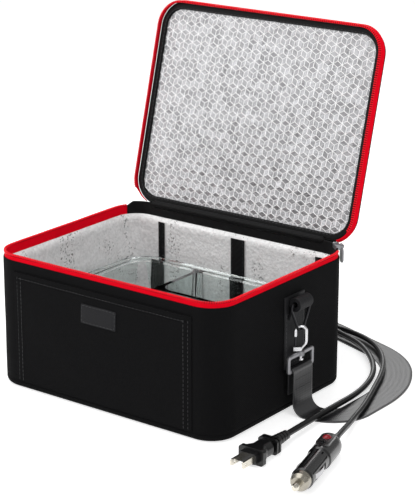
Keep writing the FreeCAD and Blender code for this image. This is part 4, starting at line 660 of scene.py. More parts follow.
def lid_run(inset, height, run=range(ROUND)):
    """Points of the lid's outline, drawn closed, at an inset and a height."""
    places = outline(HALF_WIDE + LID_OVERHANG, HALF_DEEP + LID_OVERHANG, LID_CORNER, inset)
    return [places[at][0].to_3d() + UP * height for at in run]


# The side walls' swell as a share of the front's, and the depth and length of the cloth's ripples
SIDE_SWELL = 0.45
RIPPLE_DEPTH = 0.28
RIPPLE_LONG = 26


def swell(point, way, sizes):
    """How far the padded wall stands out there: most in the middle of a side, nothing at its edges."""
    rise = math.sin(math.pi * min(1.0, max(0.0, point.z / WALL_TOP))) ** 0.8
    if abs(way.x) < 0.01:
        share = math.cos(math.pi * point.x / (2 * (HALF_WIDE - BAG_CORNER))) ** 2
        most = sizes.wall_swell / MM
    elif abs(way.y) < 0.01:
        share = math.cos(math.pi * point.y / (2 * (HALF_DEEP - BAG_CORNER))) ** 2
        most = SIDE_SWELL * sizes.wall_swell / MM
    else:
        share = most = 0.0
    ripple = RIPPLE_DEPTH * noise.noise(Vector((point.x, point.y, point.z * 0.6)) / RIPPLE_LONG) * rise
    return share * most * rise + ripple


def wall_run(inset, height, sizes):
    """Points of the outer cloth at a height, swollen by the foam behind it."""
    places = outline(HALF_WIDE, HALF_DEEP, BAG_CORNER, inset)
    points = []
    for place, way in places:
        point = place.to_3d() + UP * height
        points.append(point + way.to_3d() * swell(point, way, sizes))
    return points


def arc_steps(radius, count):
    """Insets and drops of a rounded edge, from the face that it leaves to the one that it joins."""
    angles = [math.pi / 2 * k / count for k in range(count + 1)]
    return [(radius * (1 - math.sin(angle)), radius * (1 - math.cos(angle))) for angle in angles]


def dress(material, *nodes):
    """Gives CAD nodes a better finish in their own slots."""
    for name in nodes:
        piece = frame["nodes"][name]
        if not piece.material_slots:
            piece.data.materials.append(material)
        for place in piece.material_slots:
            place.material = material


def settings(context):
    return context.scene.lunch_bag_sizes, context.scene.lunch_bag_colours


# Leads: the routes repeat the source's points, in millimetres

AC_ROUTE = [(31, 206, 10.6), (56, 203, 7.6), (82, 195, 6.2), (105, 185, 6.2), (128, 167, 5.6),
            (149, 143, 4.4), (162, 119, 3.6), (171, 90, 3.6), (175, 63, 4.2), (177, 41, 5.8),
            (178.5, 20, 6.6), (178.5, -2, 6.8), (179.8, -22, 7.2), (181.3, -42, 8.0), (182, -61.5, 8.1)]
DC_ROUTE = [(-58, 215.6, 9.4), (-28, 216.5, 7.0), (8, 216, 5.8), (42, 214, 5.6), (74, 212, 5.6),
            (101, 204, 5.6), (125, 189, 5.6), (147, 165, 5.6), (167, 130, 5.4), (183, 88, 5.2),
            (198, 48, 5.2), (207, 16, 5.8), (215, -8, 7.6), (221.6, -27, 10.6), (226.6, -44, 11.6)]
COIL_TURNS = 4
COIL_STEP = 1.25
COIL_LIFT = 1.2
POINTS_PER_TURN = 24


def ease(share):
    """Smooth step from 0 to 1."""
    share = min(1.0, max(0.0, share))
    return share * share * (3 - 2 * share)


class Lead:
    """One lead's cord: a two-layer put-away coil, then its free stretch."""

    def __init__(self, diameter, centre, inner, end_height, route):
        self.diameter = diameter
        self.centre = Vector((*centre, 0))
        self.inner = inner
        self.end_height = end_height
        self.low = diameter / 2 + COIL_LIFT
        self.step = COIL_STEP * diameter
        self.route = [Vector(point) for point in route]

    def place(self, turn_at):
        """Place on the coil, from half a turn before it starts to its last turn."""
        reach = abs(turn_at - COIL_TURNS / 2) - 0.25
        radius = self.inner + self.step * max(0.0, reach)
        angle = math.pi / 2 - 2 * math.pi * (turn_at - COIL_TURNS)
        height = (self.low + self.step * ease((turn_at - COIL_TURNS / 2 + 0.25) / 0.5)
                  + (self.end_height - self.low) * ease(-turn_at / 0.5))
        return self.centre + Vector((radius * math.cos(angle), radius * math.sin(angle), height))

    def points(self):
        """The coil's turns and then the route, with a straight diameter at the connector."""
        count = round((COIL_TURNS + 0.5) * POINTS_PER_TURN)
        turns = [self.place(-0.5 + (COIL_TURNS + 0.5) * number / count) for number in range(count + 1)]
        start = turns[0] + ACROSS * self.diameter
        return [start] + turns + [turns[-1] + ACROSS * self.diameter] + self.route


AC_LEAD = Lead(6.0, (8, 167), 25, 6.2, AC_ROUTE)
DC_LEAD = Lead(5.5, (-85, 179), 24, 5.8, DC_ROUTE)


def make_cord(name, lead, material):
    """A smooth curve whose control points are the coil's turns and the route."""
    curve = bpy.data.curves.new(name, "CURVE")
    curve.dimensions = "3D"
    curve.bevel_depth = lead.diameter / 2 * MM
    curve.bevel_resolution = 6
    curve.resolution_u = 5
    curve.use_fill_caps = True
    points = lead.points()
    spline = curve.splines.new("NURBS")
    spline.points.add(len(points) - 1)
    for knot, point in zip(spline.points, points):
        knot.co = (*(point * MM), 1.0)
    spline.order_u = 3
    spline.use_endpoint_u = True
    curve.materials.append(material)
    made = bpy.data.objects.new(name, curve)
    bpy.context.scene.collection.objects.link(made)
    return made


def tie_skin(lead):
    """Hook-and-loop band round the turns of a coil, with its free end lapped over the top."""
    tube, cloth, room, play, wide = lead.diameter / 2, 0.9, 0.9, 0.3, 10.0
    low = Vector((lead.inner - tube - room - cloth, lead.low - tube - play - cloth))
    high = Vector((lead.inner + 1.5 * lead.step + tube + room + cloth,
                   lead.low + lead.step + tube + play + cloth))
    middle, half = (low + high) / 2, (high - low) / 2
    skin = Skin()
    sections = []
    for inset in (0.0, cloth):
        ring = outline(half.x, half.y, tube, inset)
        sections.append([Vector((middle.x + place.x, 0, middle.y + place.y)) for place, _ in ring])
    rows = [(0, -wide / 2 + 0.3), (0, wide / 2 - 0.3), (1, wide / 2), (1, -wide / 2), (0, -wide / 2 + 0.3)]
    skin.loft([[point + BACK * y for point in sections[side]] for side, y in rows], closed=True)
    flap = [Vector((x, 0, high.y + 0.1 + 0.45 + 0.5 * max(0, (x - middle.x - 8) / 6)))
            for x in (middle.x - 10, middle.x - 4, middle.x + 2, middle.x + 8, middle.x + 12)]
    skin.strip(spaced(flap, 1.5), wide - 0.6, cloth, BACK)
    return skin.turned(Matrix.Translation(lead.centre))


class LUNCH_BAG_OT_leads(bpy.types.Operator):
    """Lays the two leads with their put-away coils and ties, and finishes their plugs"""

    bl_idname = "lunch_bag.leads"
    bl_label = "Leads"

    def execute(self, context):
        sizes, look = settings(context)
        jacket = pvc_jacket(look)
        plastic = moulded_plastic("moulded_pvc_plug", look.plastic, 0.3, 0.7, 0.04)
        dress(plastic, "ac_plug", "ac_connector", "dc_connector")
        dress(moulded_plastic("polished_abs_car_plug", look.plastic, 0.22, 1.2, 0.02, 0.3), "car_plug_body")
        bright = plated_metal("nickelled_brass", "#d9d4c8", 0.2, 4)
        dress(bright, "ac_plug_blades", "car_plug_tip")
        dress(plated_metal("dull_nickelled_ring", "#a29d92", 0.24, 4), "car_plug_ring")
        dress(plated_metal("spring_steel", "#b9b9bb", 0.28, 4), "car_plug_springs")
        dress(acrylic_lens(look), "car_plug_lens")
        ties = []
        for label, lead in (("ac", AC_LEAD), ("dc", DC_LEAD)):
            tape = nylon_webbing("tie_tape", look, sizes, 0.7, 1.3)
            ties.append(tie_skin(lead).make(label + "_lead_tie", [tape], "bag", ["lead_ties"], "webbing"))
        leads = (("ac", AC_LEAD, 1.27, ["ac_plug", "ac_plug_blades", "ac_connector"]),
                 ("dc", DC_LEAD, 1.33, ["car_plug_body", "car_plug_lens", "car_plug_ring", "car_plug_springs",
                                        "car_plug_tip", "dc_connector"]))
        for (label, lead, long, ends), tie in zip(leads, ties):
            cord = make_cord(label + "_lead", lead, jacket)
            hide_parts(label + "_cord", label + "_coil")
            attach(cord, "bag")
            pieces = [frame["nodes"][end] for end in ends] + [tie]
            list(lead.points()[0] * MM)
        return {"FINISHED"}


class LUNCH_BAG_OT_bag_cloth(bpy.types.Operator):
    """Sews the bag's outer walls and base in one padded shell"""

    bl_idname = "lunch_bag.bag_cloth"
    bl_label = "Bag cloth"

    def execute(self, context):
        sizes, look = settings(context)
        skin = Skin()
        middle_inset, floor_inset, board_top = 70, BASE_EDGE + 4, 5.5
        seam_half, seam_deep, rows, row_height = 0.8, 0.55, 24, 5
        # Insets and heights, from the middle of the base round the wall and back inside
        profile = [(middle_inset, 0.0), (30, 0.0), (floor_inset, 0.0)] + arc_steps(BASE_EDGE, 6)
        seam = [(0.0, BASE_SEAM - seam_half), (seam_deep, BASE_SEAM), (0.0, BASE_SEAM + seam_half)]
        wall = [(0.0, BASE_SEAM + 4 + row_height * row) for row in range(rows)]
        hem = [(0.0, HEM_TOP - 2.2), (0.2, HEM_TOP - 0.8), (0.6, HEM_TOP), (1.0, HEM_TOP - 0.2),
               (SHELL_CLOTH, HEM_TOP - 1.0)]
        inside = [(SHELL_CLOTH, TAPE_LOW), (SHELL_CLOTH, 60), (SHELL_CLOTH, BASE_SEAM),
                  (floor_inset, board_top), (middle_inset, board_top)]
        rings = [wall_run(inset, height, sizes) for inset, height in profile + seam + wall + hem]
        rings += [bag_run(inset, height) for inset, height in inside]
        skin.loft(rings, closed=True, caps=True)
        cloth = skin.make("bag_outer_cloth", [oxford_polyester(look, sizes)], "bag",
                          ["wall_shell", "base_panel", "base_board", "wall_foam"], "black_cloth")
        return {"FINISHED"}


class LUNCH_BAG_OT_front_pocket(bpy.types.Operator):
    """Sews the flat pocket to the front, with its hem, its stitching and the bare label patch"""

    bl_idname = "lunch_bag.front_pocket"
    bl_label = "Front pocket"

    def execute(self, context):
        sizes, look = settings(context)
        low, high = spot("front_pocket")
        hem, edge = 6.0, 4.0
        edge_lift, cloth_lift, hem_lift, belly, ripple = 0.75, 0.65, 0.55, 0.9, 0.25
        seam_groove, hem_groove, groove_half = 0.45, 0.5, 1.1
        front = Vector((0, -1))

        def face(x, z):
            """Outer face of the pocket: full in its middle, drawn in along its stitching."""
            base = Vector((x, -HALF_DEEP, z))
            side = min(x - low.x, high.x - x)
            lift = edge_lift + cloth_lift * ease(side / 5)
            lift -= seam_groove * math.exp(-((side - edge) / groove_half) ** 2)
            lift -= hem_groove * math.exp(-((high.z - z - hem) / groove_half) ** 2)
            lift += hem_lift * ease((z - high.z + hem - 1) / 3)
            lift += belly * ease(side / 40) * ease((high.z - hem - z) / 35) * ease((z - low.z) / 30)
            lift += ripple * noise.noise(Vector((x, z, 40)) / 22)
            return Vector((x, -HALF_DEEP - swell(base, front, sizes) - lift, z))

        columns = [low.x + 1.5 * k for k in range(8)] + [low.x + 14 + 6 * k for k in range(28)]
        columns = sorted({round(x, 3) for x in columns} | {round(-x, 3) for x in columns})
        rows = [low.z + 4 * k for k in range(25)] + [high.z - 12 + 1.2 * k for k in range(11)]
        skin = Skin()
        rings = []
        for z in sorted({round(row, 3) for row in rows}):
            outer = [face(x, z) for x in columns]
            inner = [Vector((x, -HALF_DEEP + 0.3, z)) for x in reversed(columns)]
            rings.append(outer + inner)
        skin.loft(rings, closed=True, caps=True)
        lines = [[face(x, high.z - hem) for x in range(int(low.x) + 5, int(high.x) - 4, 3)]]
        for side in (-1, 1):
            for inset in (edge, edge + 5):
                x = side * (high.x - inset)
                lines.append([face(x, z) for z in range(int(low.z) + 2, int(high.z) - 1, 3)])
        for line in lines:
            skin.seam(line, -BACK, sizes)
        thread = sewing_thread(look)
        skin.make("front_pocket_panel", [oxford_polyester(look, sizes), thread], "bag", ["front_pocket"],
                  "black_cloth")
        self.label(face, sizes, look, thread)
        return {"FINISHED"}

    def label(self, face, sizes, look, thread):
        """The bare patch follows the pocket's face and is sewn all round."""
        low, high = spot("label_patch")
        middle, half = (low + high) / 2, (high - low) / 2
        skin = Skin()

        def lifted(inset, lift):
            places = outline(half.x, half.z, 1.5, inset)
            points = []
            for place, _ in places:
                point = face(middle.x + place.x, middle.z + place.y)
                points.append(point - BACK * lift)
            return points

        skin.loft([lifted(inset, lift) for inset, lift in
                   ((0.3, -0.4), (0.0, 0.1), (0.05, 0.5), (0.5, 0.75), (1.4, 0.62), (2.2, 0.8), (6.0, 0.85))],
                  closed=True, caps=True)
        stitching = lifted(1.4, 0.62)
        skin.seam(stitching + stitching[:1], -BACK, sizes)
        skin.make("bare_label_patch", [label_cloth(look), thread], "bag", ["label_patch"], "black_cloth")


class LUNCH_BAG_OT_bag_lining(bpy.types.Operator):
    """Lines the bag with creased foil and covers its seams with black tape"""

    bl_idname = "lunch_bag.bag_lining"
    bl_label = "Bag lining"

    def execute(self, context):
        sizes, look = settings(context)
        deep = sizes.foil_crease / MM
        floor_radius, broad_long, small_long, broad_share, small_share = 4.0, 17, 7, 0.62, 0.38

        def crease(point):
            """Share of the crease's depth: sharp folds from the ridges of two layers of noise."""
            broad = 1 - 2 * abs(noise.noise(Vector((point.x, point.y, point.z * 0.22)) / broad_long))
            small = 1 - 2 * abs(noise.noise(point / small_long + Vector((9, 4, 7))))
            return broad_share * broad + small_share * small

        def ring(inset, height, depth):
            points = []
            for place, way in outline(HALF_WIDE, HALF_DEEP, BAG_CORNER, inset):
                point = place.to_3d() + UP * height
                fold = deep * depth * crease(point)
                points.append(point + way.to_3d() * max(-0.6, fold) * 0.8)
            return points

        def floor_ring(inset):
            points = bag_run(inset, LINING_FLOOR)
            return [point - UP * 0.35 * abs(crease(point)) for point in points]

        rings = [floor_ring(inset) for inset in (96, 84, 72, 60, 48, 36, 26, 18, LINING_INSET + floor_radius)]
        rings += [bag_run(LINING_INSET + inset, LINING_FLOOR + drop)
                  for inset, drop in arc_steps(floor_radius, 4)[1:-1]]
        rows, row_height, settle = 34, 3.3, 3
        for row in range(rows):
            depth = ease(row / settle) * ease((rows - 1 - row) / settle)
            rings.append(ring(LINING_INSET, LINING_FLOOR + floor_radius + row_height * row, depth))
        rings += [ring(inset, height, 0.2) for inset, height in LINING_LIP]
        skin = Skin()
        skin.loft(rings, closed=True)
        first = range(ROUND)
        skin.face(first, [skin.points[c].xy * MM for c in first])
        film = foil_film("aluminised_lining_film", look.foil, 3.4, 0.05, 2.6, 0.22, 0.9)
        lining = skin.make("bag_foil_lining", [film], "bag", ["bag_lining"], "silver_foil", sharp=60)
        backing = lining.modifiers.new("Backing", "SOLIDIFY")
        backing.thickness = 0.5 * MM
        backing.offset = 1.0
        self.tapes(sizes, look)
        return {"FINISHED"}

    def tapes(self, sizes, look):
        """Black tapes sewn over the upright seams of the rear wall."""
        low, high = spot("lining_seam_tapes")
        wide, narrow, cloth = 17.0, 8.0, 0.9
        skin = Skin()
        tapes = (((low.x + high.x) / 2, wide), (low.x + narrow / 2, narrow), (high.x - narrow / 2, narrow))
        for x, width in tapes:
            line = [Vector((x + 0.5 * noise.noise(Vector((x, z, 5)) / 30), high.y - 0.75, z))
                    for z in range(int(low.z) + 4, int(high.z), 4)]
            skin.strip(line, width, cloth, ACROSS)
            for side in (-1, 1):
                seam = [point + ACROSS * side * (width / 2 - 1.6) - BACK * cloth / 2 for point in line]
                skin.seam(seam, -BACK, sizes)
        skin.make("lining_seam_tape", [binding_tape(look), sewing_thread(look)], "bag",
                  ["lining_seam_tapes"], "black_cloth")


def zip_teeth(skin, line, low, high, sizes, finish):
    """Turns of the zip's coil set side by side along the tape's free edge."""
    pitch = sizes.tooth_pitch / MM
    total = line_length(line)
    count = round(total / pitch)
    deep, half = 1.25, 0.31 * pitch
    levels = ((0.0, 1.0, 1.0), (0.62, 1.0, 1.0), (1.0, 0.5, 0.72))
    for number in range(count):
        reach = (number + 0.5) * total / count
        point = point_along(line, reach)
        along = (point_along(line, reach + 0.6) - point_along(line, reach - 0.6)).normalized()
        out = along.cross(UP)
        rings = []
        for share, wide, far in levels:
            middle = point + UP * (low + (high - low) * share)
            rings.append([middle + along * half * wide * a + out * deep * far * b
                          for a, b in ((-1, -1), (1, -1), (1, 1), (-1, 1))])
        skin.loft(rings, closed=True, caps=True, finish=finish)


def zip_filler(skin, run, root, crown):
    """The cord inside the coil, from a height on the tape to one between the teeth, in the third finish,
    whose darkened red is painted shade between the teeth.
    """
    section = ((1.0, root), (1.0, crown), (2.6, crown), (2.6, root))
    skin.band([run(inset, height) for inset, height in section], 2)


def from_ends(points):
    """The points of a run, each with its number of steps from the nearer end."""
    last = len(points) - 1
    return [(point, min(at, last - at)) for at, point in enumerate(points)]


class LUNCH_BAG_OT_zip(bpy.types.Operator):
    """Sews the red zip round the bag and the lid, the rear band, and finishes the slider and its pull"""

    bl_idname = "lunch_bag.zip"
    bl_label = "Zip"

    def execute(self, context):
        sizes, look = settings(context)
        # The third finish is the filler cord's darkened red: painted shade between the coil's turns.
        finishes = [zip_tape(look), zip_coil(look), filler_cord_painted_shade(look)]
        self.bag_side(sizes, finishes)
        self.lid_side(sizes, finishes)
        rear = Skin()
        section = [(1.3, TAPE_LOW), (1.2, TAPE_HEM), (1.3, TAPE_TOP - 0.1), (1.9, TAPE_TOP + 0.2),
                   (2.9, TAPE_TOP + 0.2), (3.5, TAPE_TOP - 0.4), (3.6, TAPE_HEM), (3.5, TAPE_LOW)]

        def run(inset, height):
            """The band stands higher past the piping's ends, where it closes the corner behind the slider."""
            lift = BAND_RISE * ease((height - TAPE_HEM) / 6)
            return [point + UP * lift * ease((abs(point.x) - PIPING_REACH) / 8) * ease(end - 0.5)
                    for point, end in from_ends(bag_run(inset, height, REAR_RUN))]

        rear.band([run(inset, height) for inset, height in section])
        rear.make("rear_hinge_band", [binding_tape(look)], "bag", ["rear_band"], "black_cloth")
        dress(plated_metal("grey_zinc_slider", "#8a8a8d", 0.42, 4), "zip_slider")
        dress(moulded_plastic("moulded_zinc_pull", look.pull, 0.36, 0.8, 0.04), "zip_pull")
        return {"FINISHED"}

    def bag_side(self, sizes, finishes):
        skin = Skin()
        bend, sewn = TAPE_TOP - 3, 126.2
        section = [(1.25, TAPE_LOW), (1.2, TAPE_HEM), (1.15, bend), (1.3, TAPE_TOP), (2.3, TAPE_TOP),
                   (2.5, bend), (2.45, TAPE_HEM), (2.45, sewn), (2.4, TAPE_LOW)]

        def run(inset, height):
            """The tape waves a little up and down along the rim."""
            points = bag_run(inset, height, ZIP_RUN)
            return [point + UP * (0.3 * noise.noise(point / 31)) for point in points]

        skin.band([run(inset, height) for inset, height in section])
        zip_filler(skin, run, TAPE_TOP - 0.4, TAPE_TOP + 0.7)
        zip_teeth(skin, run(1.8, 0.0), TAPE_TOP, BEAD_TOP, sizes, 1)
        skin.make("bag_zip_tape", finishes, "bag", ["zip_tape_body"], "red_tape")

    def lid_side(self, sizes, finishes):
        skin = Skin()
        cloth = 1.2

        def free_edge(inset):
            """The tape's lower edge, drawn up past the coil's ends so that it clears the rear band."""
            return [point + UP * TAPE_RISE * ease((TAPE_PAST - end) / 1.5)
                    for point, end in from_ends(bag_run(inset, LID_TAPE_LOW, LID_RUN))]

        def run(inset, height):
            return bag_run(inset, height, ZIP_RUN)

        outer = [[low.lerp(high, share) for low, high in zip(free_edge(1.2), lid_run(0.2, LID_LOW, LID_RUN))]
                 for share in (0.0, 0.35, 0.7, 1.0)]
        inner = [free_edge(1.2 + cloth), lid_run(0.2 + cloth, LID_LOW, LID_RUN)]
        skin.band(outer + [inner[1], inner[0]])
        zip_filler(skin, run, LID_TAPE_LOW + 0.3, LID_TAPE_LOW - 0.8)
        zip_teeth(skin, run(1.8, 0.0), LID_TAPE_LOW, LID_BEAD_LOW, sizes, 1)
        skin.turned(LID_TURN).make("lid_zip_tape", finishes, "lid", ["zip_tape_lid"], "red_tape")


class LUNCH_BAG_OT_lid_cloth(bpy.types.Operator):
    """Sews the lid's padded cloth, its binding, its hinge piping and its webbing handle"""

    bl_idname = "lunch_bag.lid_cloth"
    bl_label = "Lid cloth"

    def execute(self, context):
        sizes, look = settings(context)
        self.cover(sizes, look)
        self.binding(sizes, look)
        self.piping(look)
        self.handle(sizes, look)
        return {"FINISHED"}

    def crown(self, point):
        """How far the lid's foam lifts its top."""
        wide, deep = HALF_WIDE + LID_OVERHANG, HALF_DEEP + LID_OVERHANG
        share = max(0.0, 1 - (point.x / wide) ** 2) * max(0.0, 1 - (point.y / deep) ** 2)
        rise, ripple = 0.8, 0.25
        return rise * share + ripple * noise.noise(point / 34) * share

    def cover(self, sizes, look):
        skin = Skin()
        tuck = 1.5
        under = [(60, LID_LOW + 1.2), (6, LID_LOW + 1.2), (tuck + 1.2, LID_LOW + 0.6),
                 (tuck + 0.4, LID_LOW + 0.1)]
        wall = [(tuck, LID_LOW + 0.6)]
        edge = [(tuck + inset, LID_TOP - drop) for inset, drop in reversed(arc_steps(LID_EDGE, 8))]
        top = [(tuck + LID_EDGE + reach, LID_TOP) for reach in (5, 14, 24, 36, 48, 60, 72, 84, 94)]
        rings = [lid_run(inset, height) for inset, height in under + wall]
        rings += [[point + UP * self.crown(point) for point in lid_run(inset, height)]
                  for inset, height in edge + top]
        skin.loft(rings, closed=True, caps=True)
        cover = skin.turned(LID_TURN).make("lid_outer_cloth", [oxford_polyester(look, sizes)], "lid",
                                           ["lid_shell", "lid_foam"], "black_cloth")

    def binding(self, sizes, look):
        outer, inner = BINDING_INSETS
        skin = Skin()
        section = [(outer, LID_LOW + 0.6), (outer, LID_LOW - 1.2), (outer + 0.8, BINDING_LOW + 0.3),
                   (outer + 3, BINDING_LOW), (inner - 0.9, BINDING_LOW + 0.3), (inner, LID_LOW - 1.2),
                   (inner, LID_LOW + 0.6), (outer, LID_LOW + 0.6)]
        skin.loft([bag_run(inset, height) for inset, height in section], closed=True)
        stitching = bag_run(inner - 1.3, BINDING_LOW + 0.25)
        skin.seam(stitching + stitching[:1], -UP, sizes)
        skin.turned(LID_TURN).make("lid_edge_binding", [binding_tape(look), sewing_thread(look)],
                                   "lid", ["lid_binding"], "black_cloth")

    def piping(self, look):
        """A corded roll on the hinge's axis, with the fin that is sewn up into the lid."""
        low, high = spot("hinge_piping")
        radius = (high.z - low.z) / 2
        skin = Skin()
        rings = []
        steps = 64
        for step in range(steps + 1):
            x = low.x + (high.x - low.x) * step / steps
            end = min(x - low.x, high.x - x)
            uneven = 1 + 0.02 * noise.noise(Vector((x, 3, 8)) / 9)
            size = radius * math.sqrt(min(1.0, 0.25 + end / 3)) * uneven
            rings.append([Vector((x, HINGE.y + size * math.cos(a), HINGE.z + size * math.sin(a)))
                          for a in (math.pi * k / 12 for k in range(24))])
        skin.loft(rings, closed=True, caps=True)
        fin_height = (HINGE.z + LID_LOW) / 2 + 2
        fin = [Vector((x, HINGE.y, fin_height)) for x in range(int(low.x) + 1, int(high.x), 4)]
        skin.strip(fin, 8.0, 1.6, UP)
        skin.turned(LID_TURN).make("hinge_piping_roll", [binding_tape(look)], "lid", ["hinge_piping"],
                                   "black_cloth")

    def handle(self, sizes, look):
        """Webbing grip, folded up between two feet that are each sewn down in a crossed box."""
        foot_end, foot, bend, cloth, wide, rise = 75.0, 30.0, 14.0, 2.4, 25.0, 26.0
        low, high = LID_TOP + cloth / 2, LID_TOP + rise
        rise_at, shoulder = foot_end - foot, foot_end - foot - bend
        route = ((-foot_end, low), (-rise_at, low), (-shoulder, high), (shoulder, high), (rise_at, low),
                 (foot_end, low))
        line = fold_line([(x, 0, z) for x, z in route], [bend] * 4)
        finishes = [nylon_webbing("handle_webbing", look, sizes, 0.6, 1.35), sewing_thread(look)]
        skin = Skin()
        skin.strip(line, wide, cloth, BACK)
        top = low + cloth / 2
        for side in (-1, 1):
            near, far, reach = side * (rise_at + 10), side * (foot_end - 3), wide / 2 - 3
            corners = [Vector((near, -reach, top)), Vector((far, -reach, top)), Vector((far, reach, top)),
                       Vector((near, reach, top))]
            skin.sewn_box(corners, UP, sizes, crossed=True)
        skin.turned(LID_TURN).make("lid_carry_handle", finishes, "lid", ["carry_handle"], "webbing")


def hold_inside(place, half_x, half_y, corner):
    """The place itself, or the nearest on a rounded rectangle's edge if it lies outside."""
    core = Vector((min(max(place.x, corner - half_x), half_x - corner),
                   min(max(place.y, corner - half_y), half_y - corner)))
    out = place - core
    return place if out.length <= corner else core + out.normalized() * corner


class LUNCH_BAG_OT_lid_lining(bpy.types.Operator):
    """Presses the lid's foil into stacked diamonds between raised lines"""

    bl_idname = "lunch_bag.lid_lining"
    bl_label = "Lid lining"

    def execute(self, context):
        sizes, look = settings(context)
        pitch, deep = sizes.emboss / MM, sizes.emboss_depth / MM / 2
        edge_inset = BINDING_INSETS[0] + 1.2
        half_x, half_y, corner = HALF_WIDE - edge_inset, HALF_DEEP - edge_inset, BAG_CORNER - edge_inset
        ways = [Vector((math.sin(math.pi * k / 3), math.cos(math.pi * k / 3))) for k in range(6)]
        steps = [(1, 0), (0, 1), (-1, 1), (-1, 0), (0, -1), (1, -1)]
        line_share, ridge = 0.12, 0.26

        def place(i, j):
            return (ways[0] * i + ways[1] * j) * pitch

        def surface(flat, height):
            """A point of the film: pillowed by the foam, a little uneven, and held under the binding."""
            held = hold_inside(flat, half_x, half_y, corner)
            room = max(0.0, 1 - (held.x / half_x) ** 2) * max(0.0, 1 - (held.y / half_y) ** 2)
            uneven = 0.35 * noise.noise(Vector((held.x, held.y, 2)) / 11)
            rim = ease((1 - max(abs(held.x) / half_x, abs(held.y) / half_y)) * 12)
            down = 0.3 + 1.8 * room ** 0.6 + (height + uneven) * (0.25 + 0.75 * rim)
            return Vector((held.x, held.y, LID_LOW + 0.4 - down))

        skin = Skin()
        corners = {}
        reach = int(2.4 * half_x / pitch)

        def ridge_point(i, j):
            if (i, j) not in corners:
                height = (0.0, deep, -deep)[(i - j) % 3] + ridge
                corners[i, j] = len(skin.points)
                skin.points.append(surface(place(i, j), height))
            return corners[i, j]

        for i in range(-reach, reach + 1):
            for j in range(-reach, reach + 1):
                if (i - j) % 3 != 1:
                    continue
                for number, (di, dj) in enumerate(steps):
                    if (i + di - j - dj) % 3 != 2:
                        continue
                    left, right = steps[(number + 1) % 6], steps[(number - 1) % 6]
                    around = ((0, 0), left, (di, dj), right)
                    knots = [(i + across, j + along) for across, along in around]
                    flats = [place(*knot) for knot in knots]
                    held = [hold_inside(flat, half_x, half_y, corner) for flat in flats]
                    if all((near - flat).length > 0.01 for near, flat in zip(held, flats)):
                        continue
                    self.diamond(skin, knots, flats, ridge_point, surface, deep, line_share)
        film = foil_film("embossed_lid_film", look.lid_foil, 2.2, 0.6, 7, 0.5, 0.5)
        # The second finish paints the raised lines white: a painted highlight.
        finishes = [film, foil_line_painted_highlight(look)]
        lining = skin.turned(LID_TURN).make("lid_foil_lining", finishes, "lid", ["lid_lining"], "silver_foil",
                                            sharp=6)
        backing = lining.modifiers.new("Backing", "SOLIDIFY")
        backing.thickness = 0.4 * MM
        backing.offset = 0.0
        return {"FINISHED"}

    def diamond(self, skin, knots, flats, ridge_point, surface, deep, line_share):
        """One flat diamond, tilted between its high and its low corner, inside four raised lines."""
        rim = [ridge_point(*knot) for knot in knots]
        middle = sum(flats, Vector((0, 0))) / 4
        inner = []
        for (i, j), flat in zip(knots, flats):
            height = (0.0, deep, -deep)[(i - j) % 3] * (1 - line_share)
            inner.append(len(skin.points))
            skin.points.append(surface(flat.lerp(middle, line_share), height))
        skin.face(inner, [skin.points[c].xy * MM for c in inner], 0)
        for at in range(4):
            beside = (at + 1) % 4
            quad = (rim[at], rim[beside], inner[beside], inner[at])
            skin.face(quad, [skin.points[c].xy * MM for c in quad], 1)


# The left side is the right one, turned half round
SIDES = (("right", Matrix.Identity(4)),
         ("left", Matrix.Translation((0, TAB_LOW.y + TAB_HIGH.y, 0)) @ Matrix.Rotation(math.pi, 4, "Z")))


